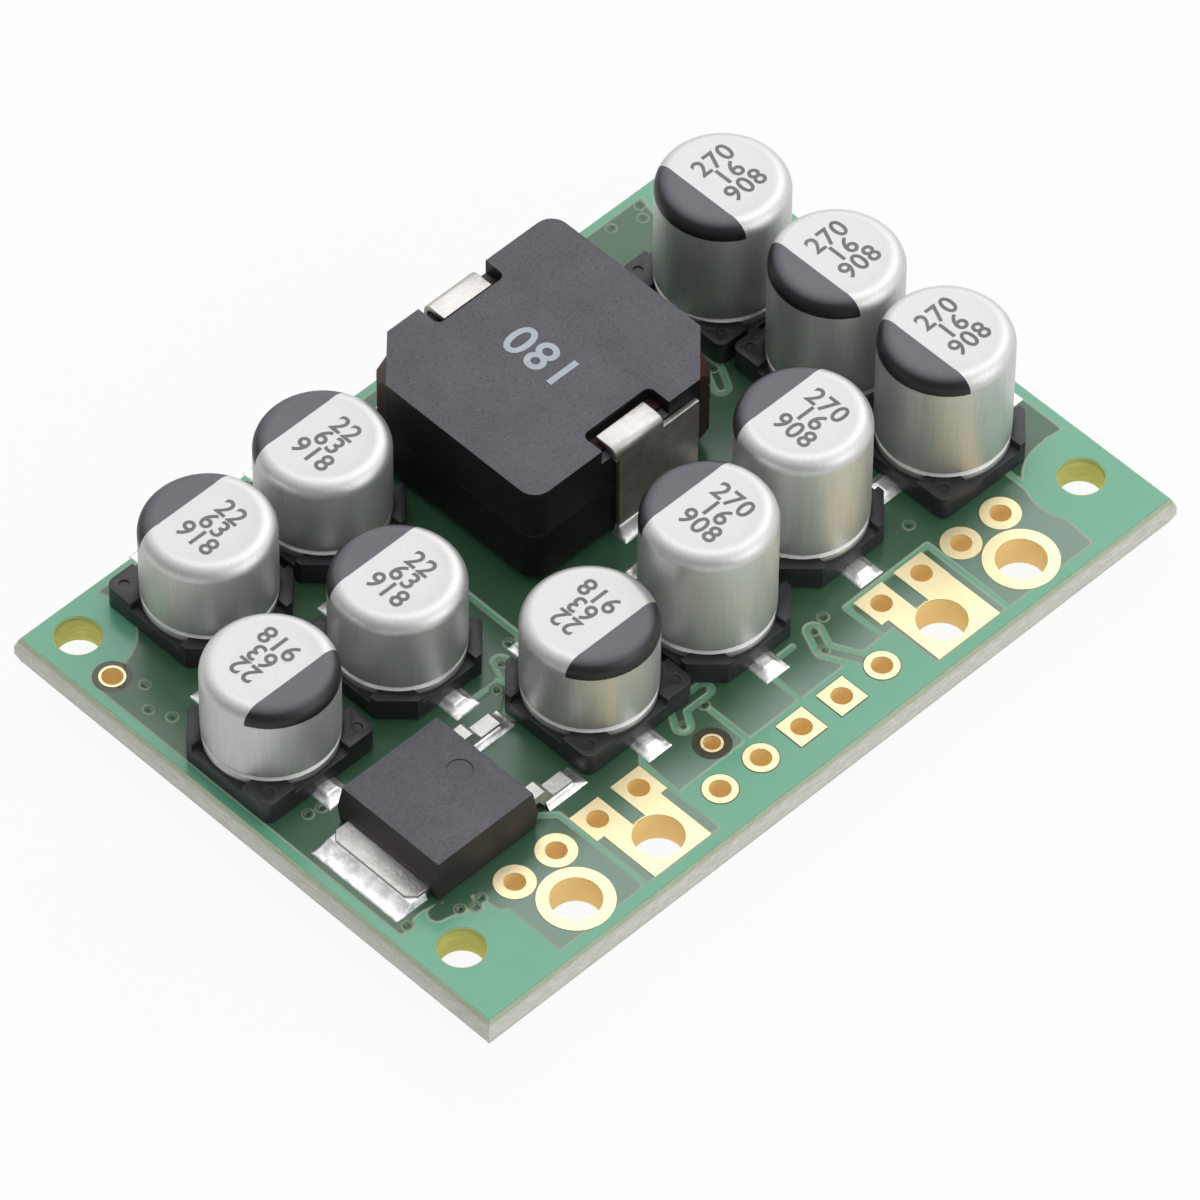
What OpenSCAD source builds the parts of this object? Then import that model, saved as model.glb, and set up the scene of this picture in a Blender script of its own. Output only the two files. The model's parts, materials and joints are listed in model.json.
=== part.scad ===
// Step-down converter module: a small green circuit board with ten can capacitors,
// a power inductor and a protection transistor on top, the controller and its
// switches underneath, and plated holes for wires, pins and terminal blocks.
// X runs along the long edge, Y across it, +Z up. The origin is under the middle of
// the board, in the plane of the faces that the module stands on.

/* [Board] */
// Length of the board along X
board_l = 43.18; // [43:0.01:60]
// Width of the board along Y
board_w = 30.48; // [30.4:0.01:45]
// Thickness of the board
board_t = 1.57; // [1:0.01:2.4]
// Thickness of the web between the scored edges
web_t = 0.5; // [0.3:0.05:0.9]
// How far a scored face stands back from the snapped web
score_run = 0.2; // [0.1:0.05:0.4]

/* [Mounting holes] */
// Diameter of the four mounting holes
mount_hole_d = 2.18; // [1.6:0.01:2.4]
// From a short edge to the middle of a mounting hole
mount_edge_x = 2.16; // [1.8:0.01:2.3]
// From the front edge to the middle of the front mounting holes
mount_edge_front = 3.94; // [3:0.01:5]
// From the back edge to the middle of the back mounting holes
mount_edge_back = 1.9; // [1.8:0.01:2.2]

/* [Plated holes] */
// Distance between neighbouring header holes
pitch = 2.54; // [2.5:0.01:2.7]
// From the front edge to the row of header holes
row_edge = 2.41; // [2.2:0.01:2.6]
// Diameter of a header hole
pin_hole_d = 1.02; // [0.8:0.01:1.2]
// Diameter of a round header pad
pin_pad_d = 1.65; // [1.5:0.01:2]
// Diameter of a round pad for a terminal block
block_pad_d = 1.93; // [1.7:0.01:1.95]
// Side of a square pad for a terminal block
block_pad_w = 1.78; // [1.6:0.01:2]
// Diameter of a power hole
power_hole_d = 2.4; // [2:0.01:2.6]
// Diameter of a round power pad
power_pad_d = 3.56; // [3.2:0.01:3.6]
// Length of the square power pads along X
power_pad_l = 3.48; // [3.1:0.01:3.6]
// From the row of holes to the front edge of a square power pad
power_pad_front = 1.54; // [1.4:0.01:1.8]
// Diameter of the small probe hole beside the header
probe_hole_d = 0.8; // [0.5:0.01:0.9]
// Diameter of the pad of a probe hole
probe_pad_d = 1.05; // [1:0.01:1.4]
// Diameter of the tooling hole by the left edge
tooling_hole_d = 1; // [0.8:0.01:1.1]
// Diameter of the ring of gold round the tooling hole
tooling_pad_d = 1.25; // [1.2:0.01:1.6]
// From the row of header holes to the probe hole
probe_row_gap = 2.1; // [1.9:0.01:2.4]
// From the middle of the board to the probe hole
probe_x = 3.5; // [3.2:0.01:3.8]
// From the left edge to the tooling hole
tooling_edge_x = 1.65; // [1.4:0.01:1.9]
// From the back edge to the tooling hole
tooling_edge_y = 4.7; // [4.5:0.01:5.2]
// Length of the slot between the two block pads of a square power pad
pad_slot_l = 1.48; // [1:0.01:1.8]
// How far a square power pad reaches under its block pads
pad_overlap = 0.25; // [0.1:0.01:0.6]
// How much longer the output pad is at its right end
output_extra = 0.4; // [0.1:0.01:0.5]
// Thickness of the copper and its gold finish
copper_t = 0.05; // [0.03:0.01:0.1]

/* [Capacitors] */
// Diameter of a can
can_d = 6.3; // [5.4:0.1:6.5]
// Height of a short can above the board
short_can_h = 5.8; // [5:0.1:8]
// Height of a tall can above the board
tall_can_h = 7.7; // [6:0.1:12]
// Radius of the shoulder of a can
can_shoulder_r = 0.75; // [0.3:0.05:1.2]
// Depth of the crimp that closes a can
crimp_depth = 0.16; // [0.05:0.01:0.3]
// From the top of a base's posts to the middle of the crimp
crimp_rise = 0.1; // [0.05:0.01:0.4]
// Radius of the lower edge of a can
can_edge_r = 0.25; // [0.1:0.01:0.3]
// How far a base stands out past its can on each side
base_wall = 0.16; // [0.1:0.01:0.2]
// Height of the corner posts of a base
base_post_h = 1.35; // [1.2:0.01:2]
// Height of the low walls of a base
base_wall_h = 0.95; // [0.8:0.01:1.1]
// Thickness of the floor of a base
base_floor_t = 0.5; // [0.4:0.01:0.7]
// Length of the chamfers at the positive corners of a base
base_chamfer = 1.35; // [0.8:0.05:1.6]
// Radius of the negative corners of a base
base_corner_r = 0.45; // [0.2:0.05:0.6]
// Length of a base's corner posts along each side
base_post_l = 1.7; // [1.5:0.05:2]
// Diameter of the round marks on the posts
post_mark_d = 0.48; // [0.3:0.01:0.6]
// Depth of the round marks on the posts
post_mark_depth = 0.08; // [0.04:0.01:0.12]
// Distance between the two leads where they turn outwards
lead_gap = 1.8; // [1.4:0.05:2.2]
// Diameter of a lead inside the base
lead_pin_d = 0.45; // [0.3:0.01:0.5]
// Width of a capacitor lead
lead_w = 0.66; // [0.5:0.01:0.8]
// Thickness of a capacitor lead
lead_t = 0.16; // [0.1:0.01:0.25]
// How far a lead shows past its base
lead_show = 0.62; // [0.3:0.01:0.7]

/* [Inductor] */
// Length of the inductor core along X
core_l = 12.6; // [11.5:0.1:13]
// Width of the inductor core along Y
core_w = 11.8; // [11.6:0.1:12.2]
// Height of the inductor above the board
inductor_h = 6.1; // [5.6:0.1:7.5]
// Length of the two large chamfers of the core
core_chamfer = 2.25; // [1.5:0.05:2.5]
// Radius of the two rounded corners of the core
core_corner_r = 0.9; // [0.4:0.05:1.2]
// Radius of the winding
winding_r = 7.5; // [7.2:0.05:7.7]
// Height of the winding
winding_h = 4.3; // [3.5:0.1:4.6]
// Radius of the core's middle leg
core_leg_r = 2.9; // [2:0.1:3.4]
// Thickness of the core's side walls
core_wall_t = 0.5; // [0.4:0.05:1]
// Number of turns
turns = 4; // [3:1:6]
// Thickness of an inductor terminal
plate_t = 0.3; // [0.2:0.01:0.4]
// Width of an inductor terminal
plate_w = 5; // [4:0.1:5.6]
// Width of the tab that folds over the core
tab_w = 3; // [2:0.1:3.4]
// How far the tab starts to the left of its plate
tab_shift = 0.25; // [0:0.01:0.5]
// Depth of the notch that the tab lies in
notch_depth = 1.3; // [1:0.05:1.8]
// Gap beside a tab in its notch
notch_side = 0.6; // [0.2:0.05:0.8]
// From the top of the core down to the floor of a notch
notch_drop = 0.85; // [0.7:0.01:1]
// From the top of the core down to the top of a tab
tab_drop = 0.3; // [0.1:0.01:0.35]
// From the top of the core down to the top of a plate
plate_drop = 0.95; // [0.9:0.01:1.2]
// Outer radius of the bend of a tab
tab_bend_r = 0.45; // [0.35:0.01:0.5]
// Length of a terminal's foot under the core
foot_l = 2.6; // [2:0.1:3.2]

/* [Protection transistor] */
// Length of the transistor's body along X
body_l = 6.1; // [5.8:0.05:6.3]
// Width of the transistor's body along Y
body_w = 6.4; // [6:0.05:6.7]
// Height of the transistor above its solder
body_h = 2.3; // [2:0.05:2.6]
// Slope of the body's sides: how far the top stands in
body_draft = 0.16; // [0.05:0.01:0.3]
// Width of the transistor's cooling tab
sink_w = 5.2; // [4.6:0.05:5.4]
// Thickness of the cooling tab and the leads
sink_t = 0.5; // [0.4:0.01:0.6]
// How far the cooling tab stands out of the body
sink_out = 1.1; // [0.8:0.01:1.2]
// Distance between the middle lead and an outer one
leg_pitch = 2.28; // [2.2:0.01:2.4]
// Width of a transistor lead
leg_w = 0.76; // [0.6:0.01:0.9]
// How far a lead reaches past the body
leg_out = 2.6; // [2.2:0.01:2.7]
// Height of the line where the mould parts, above the solder
part_line_z = 0.95; // [0.8:0.01:1.2]
// How far metal reaches into the body
leg_in = 0.4; // [0.3:0.01:0.6]
// How far the cropped middle lead shows
stub_out = 0.35; // [0.1:0.01:0.5]
// Diameter of the round mark on the body
body_mark_d = 1.2; // [0.8:0.05:1.6]
// Depth of the round mark on the body
body_mark_depth = 0.06; // [0.03:0.01:0.15]
// Length of the corners cut from the cooling tab
sink_cut = 0.42; // [0.2:0.01:0.6]

/* [Underside] */
// Height of the switching transistors and ceramic capacitors
under_h = 1.1; // [0.9:0.01:1.5]
// Length of a switching transistor
switch_l = 6.1; // [5.5:0.05:6.3]
// Width of a switching transistor
switch_w = 5.1; // [4.8:0.05:5.4]
// Width of a switching transistor's legs
switch_leg_w = 0.5; // [0.35:0.01:0.6]
// Side of the controller
controller_w = 5; // [4:0.1:5.4]
// Height of the controller
controller_h = 0.85; // [0.6:0.05:1]
// Length of a ceramic capacitor
ceramic_l = 3.2; // [2.8:0.05:3.4]
// Width of a ceramic capacitor
ceramic_w = 2.5; // [2:0.05:2.6]
// Length of a chip resistor
chip_l = 1.6; // [1.4:0.05:1.7]
// Width of a chip resistor
chip_w = 0.8; // [0.7:0.05:0.9]
// Height of a chip resistor
chip_h = 0.5; // [0.35:0.01:0.6]
// Length of a chip's metal end
chip_end = 0.35; // [0.2:0.01:0.5]

/* [Placing] */
// From the middle of the board to the left end of the placed parts
place_left = 20.85; // [20.5:0.01:21]
// Gap between neighbouring capacitors
can_gap = 0.3; // [0.15:0.01:0.35]
// Gap between rows of capacitors, for their leads
row_gap = 1.3; // [1.25:0.01:1.5]
// Gap between a can and the inductor
core_gap = 0.65; // [0.3:0.01:0.8]
// Gap between the pads and the first row of parts
pad_gap = 0.6; // [0.5:0.01:0.8]
// Gap between the transistor's leads and the next capacitor
leg_gap = 0.9; // [0.85:0.01:1.1]
// Gap between the first row and the column of capacitors at its right end
column_gap = 1.4; // [1.3:0.01:1.6]
// Gap between the two capacitors of the middle row
inner_gap = 0.95; // [0.3:0.01:1.2]
// Gap between the two capacitors of the back row
back_gap = 0.4; // [0.2:0.01:0.5]
// How far the back row starts to the right of the middle row
back_shift = 3.6; // [3.4:0.01:3.8]
// How far the short capacitor of the first row stands behind the tall ones
first_step = 0.45; // [0.2:0.01:0.6]
// Gap between the first and the middle row
mid_gap = 1.45; // [1.4:0.01:1.6]
// How far the last tall capacitor of the first row stands behind the others
third_step = 1; // [0.5:0.01:1.1]
// From the first row to the middle of the inductor
core_rise = 12.5; // [12.4:0.01:12.7]
// From the transistor's tab to the left end of the placed parts
sink_gap = 1.3; // [1.05:0.01:1.4]
// Thickness of solder under a lead
solder_t = 0.08; // [0.05:0.01:0.12]
// How far solder reaches past a capacitor lead
solder_reach = 0.65; // [0.3:0.01:0.7]
// How far solder reaches past each side of a capacitor lead
land_side = 0.43; // [0.2:0.01:0.5]
// How far solder reaches past an inductor terminal
core_land_out = 0.7; // [0.3:0.01:0.8]
// How far solder reaches past the transistor's tab
sink_land_out = 1; // [0.4:0.01:1.05]
// How far solder reaches past each side of a transistor lead
leg_land_side = 0.27; // [0.1:0.01:0.4]

/* [Hidden] */
$fn = 64;
eps = 0.01;

// Levels
under_z = under_h + copper_t;
top_z = under_z + board_t;
seat_z = top_z + solder_t;

// Plated holes
row_y = -board_w / 2 + row_edge;
block_y = row_y + pitch;
barrel_wall = copper_t;
power_x = 3.5 * pitch;
ground_x = power_x + 2 * pitch;
probe_xy = [-probe_x, row_y + probe_row_gap];
tooling_xy = [-board_l / 2 + tooling_edge_x, board_w / 2 - tooling_edge_y];

// Capacitors
can_r = can_d / 2;
base_w = can_d + 2 * base_wall;
half_base = base_w / 2;
lead_in = lead_gap / 2;
pin_in = lead_in + lead_pin_d / 2 + 0.125;
lead_end = half_base + lead_show;
land_end = lead_end + solder_reach;
land_w = lead_w + 2 * land_side;

// Places along X, from the left
mount_x = board_l / 2 - mount_edge_x;
sink_end_x = -place_left + sink_gap;
body_x = sink_end_x + sink_out + body_l / 2;
leg_end_x = body_x + body_l / 2 + leg_out;
first_x = leg_end_x + leg_gap + half_base;
second_x = first_x + base_w + can_gap;
third_x = second_x + base_w + can_gap;
column_x = third_x + base_w + column_gap;
left_x = -place_left + half_base;
inner_x = left_x + base_w + inner_gap;
back_left_x = -place_left + back_shift + half_base;
back_right_x = back_left_x + base_w + back_gap;
core_x = back_right_x + half_base + core_gap + core_l / 2;

// Places along Y, from the front
front_y = block_y + block_pad_w / 2 + pad_gap;
first_row_y = front_y + half_base;
body_y = front_y + body_w / 2;
mid_row_y = first_row_y + base_w + mid_gap;
back_row_y = mid_row_y + base_w + row_gap + 0.1;
core_y = first_row_y + core_rise;
column_y = [first_row_y - 0.05, first_row_y + base_w, first_row_y + 2 * base_w + 0.25];

// Each capacitor: X, Y and the turn that points its negative side away from -Y
SHORT = [
    [back_right_x, back_row_y, 180],
    [back_left_x, back_row_y, 180],
    [inner_x, mid_row_y, 180],
    [left_x, mid_row_y + 0.2, 0],
    [first_x, first_row_y + first_step, 0]
];
TALL = [
    [column_x - 0.65, column_y[2], -90],
    [column_x - 0.25, column_y[1], -90],
    [column_x, column_y[0], -90],
    [third_x, first_row_y + third_step, 180],
    [second_x, first_row_y, 180]
];

// Inductor
core_bottom = solder_t + plate_t;
core_split = (core_bottom + inductor_h) / 2;
winding_z = core_bottom + (inductor_h - core_bottom - winding_h) / 2;
fit_gap = 0.05;
plate_top = inductor_h - plate_drop;
notch_floor = inductor_h - notch_drop;
tab_top = inductor_h - tab_drop;
tab_end = notch_depth + plate_t - 0.25;

// Protection transistor
leg_top = part_line_z + sink_t / 2;
sink_in = body_l - 1.3;
leg_foot = body_l / 2 + 0.75;

function arc(cx, cy, r, from, to, steps = 8) =
    [for (i = [0:steps]) [cx + r * cos(from + (to - from) * i / steps),
                          cy + r * sin(from + (to - from) * i / steps)]];

module at_each(places, index) {
    p = places[index];
    translate([p[0], p[1], 0]) rotate([0, 0, p[2]]) children();
}

// ---- Board and plated holes ----

module score_cut(length) {
    score_depth = (board_t - web_t) / 2;
    rotate([90, 0, 90]) linear_extrude(length, center = true)
        polygon([[eps, 0], [-score_run, 0], [0, -score_depth], [eps, -score_depth]]);
}

module edge_scores() {
    for (flip = [0, 1]) mirror([0, 0, flip]) for (turn = [0, 180]) rotate([0, 0, turn]) {
        translate([0, board_w / 2, board_t / 2]) score_cut(board_l + 1);
        rotate([0, 0, -90]) translate([0, board_l / 2, board_t / 2]) score_cut(board_w + 1);
    }
}

module mount_holes(d) {
    for (sx = [-1, 1], y = [-board_w / 2 + mount_edge_front, board_w / 2 - mount_edge_back])
        translate([sx * mount_x, y, 0]) cylinder(h = 10, d = d, center = true);
}

module plated_cut() {
    for (i = [-2:2]) translate([i * pitch, row_y, 0]) plated_hole_cut(pin_hole_d);
    for (sx = [-1, 1]) {
        translate([sx * power_x, row_y, 0]) plated_hole_cut(power_hole_d);
        translate([sx * ground_x, row_y, 0]) plated_hole_cut(power_hole_d);
        for (side = [-1, 1]) {
            translate([sx * power_x + side * pitch / 2, block_y, 0]) plated_hole_cut(pin_hole_d);
            translate([sx * ground_x + side * pitch / 2, block_y, 0]) plated_hole_cut(pin_hole_d);
        }
    }
    translate([probe_xy[0], probe_xy[1], 0]) plated_hole_cut(probe_hole_d);
    translate([tooling_xy[0], tooling_xy[1], 0]) plated_hole_cut(tooling_hole_d);
}

module plated_hole_cut(d) {
    cylinder(h = 10, d = d + 2 * barrel_wall, center = true);
}

// One plated round hole: a pad on each face and the barrel that joins them
module plated_ring(hole_d, pad_d) {
    translate([0, 0, under_z]) rotate_extrude() polygon([
        [hole_d / 2, -copper_t], [pad_d / 2, -copper_t], [pad_d / 2, 0],
        [hole_d / 2 + barrel_wall, 0], [hole_d / 2 + barrel_wall, board_t],
        [pad_d / 2, board_t], [pad_d / 2, board_t + copper_t], [hole_d / 2, board_t + copper_t]
    ]);
}

module square_pad(side) {
    difference() {
        translate([0, 0, under_z]) {
            for (z = [-copper_t, board_t]) translate([-side / 2, -side / 2, z])
                cube([side, side, copper_t]);
            translate([0, 0, -copper_t])
                cylinder(h = board_t + 2 * copper_t, d = pin_hole_d + 2 * barrel_wall);
        }
        cylinder(h = 10, d = pin_hole_d, center = true);
    }
}

// Outline of a square power pad with its two block pads, seen from above
module power_outline(right_out) {
    half = power_pad_l / 2;
    translate([-half, -power_pad_front])
        square([power_pad_l + right_out, power_pad_front + pitch - block_pad_w / 2 + pad_overlap]);
    for (side = [-1, 1]) translate([side * pitch / 2 - block_pad_w / 2, pitch - block_pad_w / 2])
        square(block_pad_w);
}

module power_pad(right_out) {
    difference() {
        translate([0, 0, under_z]) {
            for (z = [-copper_t, board_t]) translate([0, 0, z]) linear_extrude(copper_t) difference() {
                power_outline(right_out);
                translate([0, pitch]) square([pitch - block_pad_w, 2 * pad_slot_l], center = true);
            }
            translate([0, 0, -copper_t]) {
                cylinder(h = board_t + 2 * copper_t, d = power_hole_d + 2 * barrel_wall);
                for (side = [-1, 1]) translate([side * pitch / 2, pitch, 0])
                    cylinder(h = board_t + 2 * copper_t, d = pin_hole_d + 2 * barrel_wall);
            }
        }
        cylinder(h = 10, d = power_hole_d, center = true);
        for (side = [-1, 1]) translate([side * pitch / 2, pitch, 0])
            cylinder(h = 10, d = pin_hole_d, center = true);
    }
}

module circuit_board() {
    color("seagreen") difference() {
        translate([0, 0, under_z + board_t / 2]) difference() {
            cube([board_l, board_w, board_t], center = true);
            edge_scores();
        }
        mount_holes(mount_hole_d);
        plated_cut();
    }
}

module ground_pads() {
    color("gold") for (sx = [-1, 1]) {
        translate([sx * ground_x, row_y, 0]) plated_ring(power_hole_d, power_pad_d);
        for (side = [-1, 1]) translate([sx * ground_x + side * pitch / 2, block_y, 0])
            plated_ring(pin_hole_d, block_pad_d);
    }
}

module input_pad() {
    color("gold") translate([-power_x, row_y, 0]) power_pad(0);
}

module output_pad() {
    color("gold") translate([power_x, row_y, 0]) power_pad(output_extra);
}

module header_pads() {
    color("gold") for (i = [-2:2]) translate([i * pitch, row_y, 0])
        if (i == 0 || i == 1) square_pad(pin_pad_d);
        else plated_ring(pin_hole_d, pin_pad_d);
}

module probe_pads() {
    color("gold") {
        translate([probe_xy[0], probe_xy[1], 0]) plated_ring(probe_hole_d, probe_pad_d);
        translate([tooling_xy[0], tooling_xy[1], 0]) plated_ring(tooling_hole_d, tooling_pad_d);
    }
}

// ---- Can capacitors: the negative side is at -Y, the leads run along Y ----

module can(height) {
    bottom = solder_t + base_floor_t;
    crimp_z = base_post_h + crimp_rise;
    rim_r = can_edge_r - eps;
    translate([0, 0, top_z]) rotate_extrude() polygon(concat(
        [[0, bottom], [can_r - can_edge_r, bottom]],
        arc(can_r - can_edge_r, bottom + can_edge_r, rim_r, -90, 0, 4),
        [[can_r - eps, crimp_z - 2.2 * crimp_depth]],
        arc(can_r, crimp_z, crimp_depth, 240, 120, 6),
        arc(can_r - can_shoulder_r, height - can_shoulder_r, can_shoulder_r, 0, 90, 8),
        [[0, height]]
    ));
}

module base_outline() {
    r = base_corner_r;
    polygon(concat(
        arc(-half_base + r, -half_base + r, r, 180, 270, 6),
        arc(half_base - r, -half_base + r, r, 270, 360, 6),
        [[half_base, half_base - base_chamfer], [half_base - base_chamfer, half_base],
         [-half_base + base_chamfer, half_base], [-half_base, half_base - base_chamfer]]
    ));
}

module lead_channel() {
    slot_w = lead_w + 2 * fit_gap;
    for (turn = [0, 180]) rotate([0, 0, turn]) {
        translate([-slot_w / 2, lead_in - fit_gap, -eps]) cube([slot_w, half_base, lead_t + eps]);
        translate([0, pin_in, 0]) cylinder(h = 2, d = lead_pin_d + 2 * fit_gap, center = true);
    }
}

module capacitor_base() {
    side_gap_w = base_w - 2 * base_post_l;
    mark_at = half_base - 0.14 - post_mark_d;
    translate([0, 0, seat_z]) difference() {
        linear_extrude(base_post_h - solder_t) base_outline();
        translate([0, 0, base_floor_t]) cylinder(h = 3, r = can_r + eps);
        translate([-side_gap_w / 2, -base_w, base_wall_h - solder_t]) cube([side_gap_w, 2 * base_w, 3]);
        translate([-base_w, -side_gap_w / 2, base_wall_h - solder_t]) cube([2 * base_w, side_gap_w, 3]);
        for (sx = [-1, 1]) translate([sx * mark_at, -mark_at, base_post_h - solder_t - post_mark_depth])
            cylinder(h = 1, d = post_mark_d);
        lead_channel();
    }
}

module capacitor_leads() {
    translate([0, 0, seat_z]) for (turn = [0, 180]) rotate([0, 0, turn]) {
        translate([-lead_w / 2, lead_in, 0]) cube([lead_w, lead_end - lead_in, lead_t]);
        translate([0, pin_in, 0]) cylinder(h = base_floor_t, d = lead_pin_d);
    }
}

// A land with its solder: flat under the lead, a fillet up to its end
module capacitor_joint() {
    fillet_w = land_w - 0.3;
    fillet_top = solder_t + lead_t + 0.1;
    for (turn = [0, 180]) rotate([0, 0, turn]) translate([0, 0, top_z]) {
        translate([-land_w / 2, lead_in, 0]) cube([land_w, land_end - lead_in, solder_t]);
        translate([-fillet_w / 2, 0, 0]) rotate([90, 0, 90]) linear_extrude(fillet_w)
            polygon([[lead_end, 0], [land_end - 0.1, 0], [land_end - 0.1, solder_t],
                     [lead_end + 0.2, fillet_top], [lead_end, fillet_top]]);
    }
}

module short_can(i) { color("silver") at_each(SHORT, i - 1) can(short_can_h); }
module short_base(i) { color("#202024") at_each(SHORT, i - 1) capacitor_base(); }
module short_leads(i) { color("lightgray") at_each(SHORT, i - 1) capacitor_leads(); }
module tall_can(i) { color("silver") at_each(TALL, i - 1) can(tall_can_h); }
module tall_base(i) { color("#202024") at_each(TALL, i - 1) capacitor_base(); }
module tall_leads(i) { color("lightgray") at_each(TALL, i - 1) capacitor_leads(); }

module capacitor_solder() {
    color("gainsboro") for (i = [0:4]) {
        at_each(SHORT, i) capacitor_joint();
        at_each(TALL, i) capacitor_joint();
    }
}

// ---- Inductor ----

module at_core() {
    translate([core_x, core_y, top_z]) children();
}

module core_outline() {
    x = core_l / 2;
    y = core_w / 2;
    r = core_corner_r;
    polygon(concat(
        arc(-x + r, -y + r, r, 180, 270, 6),
        [[x - core_chamfer, -y], [x, -y + core_chamfer]],
        arc(x - r, y - r, r, 0, 90, 6),
        [[-x + core_chamfer, y], [-x, y - core_chamfer]]
    ));
}

// Section of the winding: flat turns with a groove between each two
module winding_section(grow) {
    turn_h = winding_h / turns;
    outer = winding_r + grow;
    polygon(concat(
        [[core_leg_r + fit_gap - grow, -grow], [outer - 0.3, -grow], [outer, 0.3]],
        grow > 0 ? [] : [for (i = [1:turns - 1]) each [
            [outer, i * turn_h - 0.07], [outer - 0.18, i * turn_h], [outer, i * turn_h + 0.07]]],
        [[outer, winding_h - 0.5], [outer - 0.45, winding_h + grow],
         [core_leg_r + fit_gap - grow, winding_h + grow]]
    ));
}

module winding_form(grow) {
    inner_l = core_l - 2 * core_wall_t - 2 * fit_gap + 2 * grow;
    inner_w = core_w - 2 * core_wall_t - 2 * fit_gap + 2 * grow;
    translate([0, 0, winding_z]) intersection() {
        rotate_extrude($fn = 96) winding_section(grow);
        translate([0, 0, winding_h / 2]) cube([inner_l, inner_w, 2 * winding_h], center = true);
    }
}

module tab_notch(depth) {
    half = tab_w / 2 + notch_side;
    r = 0.35;
    translate([0, -core_w / 2, notch_floor]) linear_extrude(inductor_h) polygon(concat(
        [[-half, -1], [half, -1]],
        arc(half - r, depth - r, r, 0, 90, 4),
        arc(-half + r, depth - r, r, 90, 180, 4)
    ));
}

module core_half(from, to) {
    difference() {
        translate([0, 0, from]) linear_extrude(to - from) core_outline();
        winding_form(fit_gap);
        for (turn = [0, 180]) rotate([0, 0, turn]) tab_notch(notch_depth);
    }
}

module core_lower() {
    color("#1c1c20") at_core() core_half(core_bottom, core_split);
}

module core_upper() {
    color("#3a3a40") at_core() core_half(core_split, inductor_h);
}

module winding() {
    color("#5a2a1c") at_core() winding_form(0);
}

// One terminal: a foot under the core, a plate up its side and a tab folded over it
module terminal() {
    left = -tab_w / 2;
    out = -core_w / 2 - plate_t;
    translate([left, out, 0]) {
        translate([tab_shift, 0, solder_t]) cube([plate_w, foot_l, plate_t]);
        translate([tab_shift, 0, solder_t]) cube([plate_w, plate_t, plate_top - solder_t]);
        rotate([90, 0, 90]) linear_extrude(tab_w) polygon(concat(
            [[0, plate_top - 0.1]],
            arc(tab_bend_r, tab_top - tab_bend_r, tab_bend_r, 180, 90, 6),
            [[tab_end, tab_top], [tab_end, tab_top - plate_t]],
            arc(tab_bend_r, tab_top - tab_bend_r, tab_bend_r - plate_t, 90, 180, 4),
            [[plate_t, plate_top - 0.1]]
        ));
    }
}

module front_terminal() {
    color("silver") at_core() terminal();
}

module back_terminal() {
    color("silver") at_core() rotate([0, 0, 180]) terminal();
}

module inductor_solder() {
    left = -tab_w / 2 + tab_shift;
    out = -core_w / 2 - plate_t;
    color("gainsboro") at_core() for (turn = [0, 180]) rotate([0, 0, turn]) {
        translate([left - 0.25, out - core_land_out, 0])
            cube([plate_w + 0.5, core_land_out + foot_l, solder_t]);
        translate([left, 0, 0]) rotate([90, 0, 90]) linear_extrude(plate_w) polygon([
            [out - core_land_out + 0.15, 0], [out, 0], [out, 2 * plate_t], [out - 0.2, plate_t]]);
    }
}

// ---- Protection transistor: its tab points to -X, its leads to +X ----

module at_body() {
    translate([body_x, body_y, seat_z]) children();
}

// A block whose sides lean in above and below the line where the mould parts
module moulded_block(length, width, height, draft, part_z) {
    function side(size) = [
        [-size / 2 + draft / 2, 0], [size / 2 - draft / 2, 0], [size / 2, part_z],
        [size / 2 - draft, height], [-size / 2 + draft, height], [-size / 2, part_z]];
    intersection() {
        rotate([90, 0, 0]) linear_extrude(2 * width, center = true) polygon(side(length));
        rotate([90, 0, 90]) linear_extrude(2 * length, center = true) polygon(side(width));
    }
}

module sink_plate(grow) {
    translate([-body_l / 2 - sink_out, -sink_w / 2 - grow, -eps])
        cube([sink_out + sink_in + grow, sink_w + 2 * grow, sink_t + eps + grow]);
}

module leg_profile() {
    reach = body_l / 2 + leg_out;
    half = body_l / 2 - leg_in;
    knee = body_l / 2 + 0.85;
    polygon([[half, leg_top - sink_t], [knee - 0.25, leg_top - sink_t], [knee + 0.15, 0], [reach, 0],
             [reach, sink_t], [knee + 0.6, sink_t], [knee + 0.2, leg_top - 0.1], [knee + 0.05, leg_top],
             [half, leg_top]]);
}

module transistor_body() {
    color("#2e2e33") at_body() difference() {
        moulded_block(body_l, body_w, body_h, body_draft, part_line_z);
        sink_plate(0);
        translate([body_l / 4, 0.18, body_h - body_mark_depth]) cylinder(h = 1, d = body_mark_d);
        for (side = [-1:1])
            translate([body_l / 2 - leg_in, side * leg_pitch - leg_w / 2, leg_top - sink_t])
                cube([1, leg_w, sink_t]);
    }
}

module transistor_tab() {
    color("silver") at_body() difference() {
        translate([0, 0, eps]) sink_plate(-eps);
        for (side = [-1, 1]) translate([-body_l / 2 - sink_out, side * sink_w / 2, 0]) rotate([0, 0, 45])
            cube([sink_cut * sqrt(2), sink_cut * sqrt(2), 3], center = true);
    }
}

module transistor_leads() {
    color("silver") at_body() {
        for (side = [-1, 1]) translate([0, side * leg_pitch + leg_w / 2, 0]) rotate([90, 0, 0])
            linear_extrude(leg_w) leg_profile();
        translate([body_l / 2 - leg_in, -leg_w / 2, leg_top - sink_t])
            cube([leg_in + stub_out, leg_w, sink_t]);
    }
}

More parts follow.
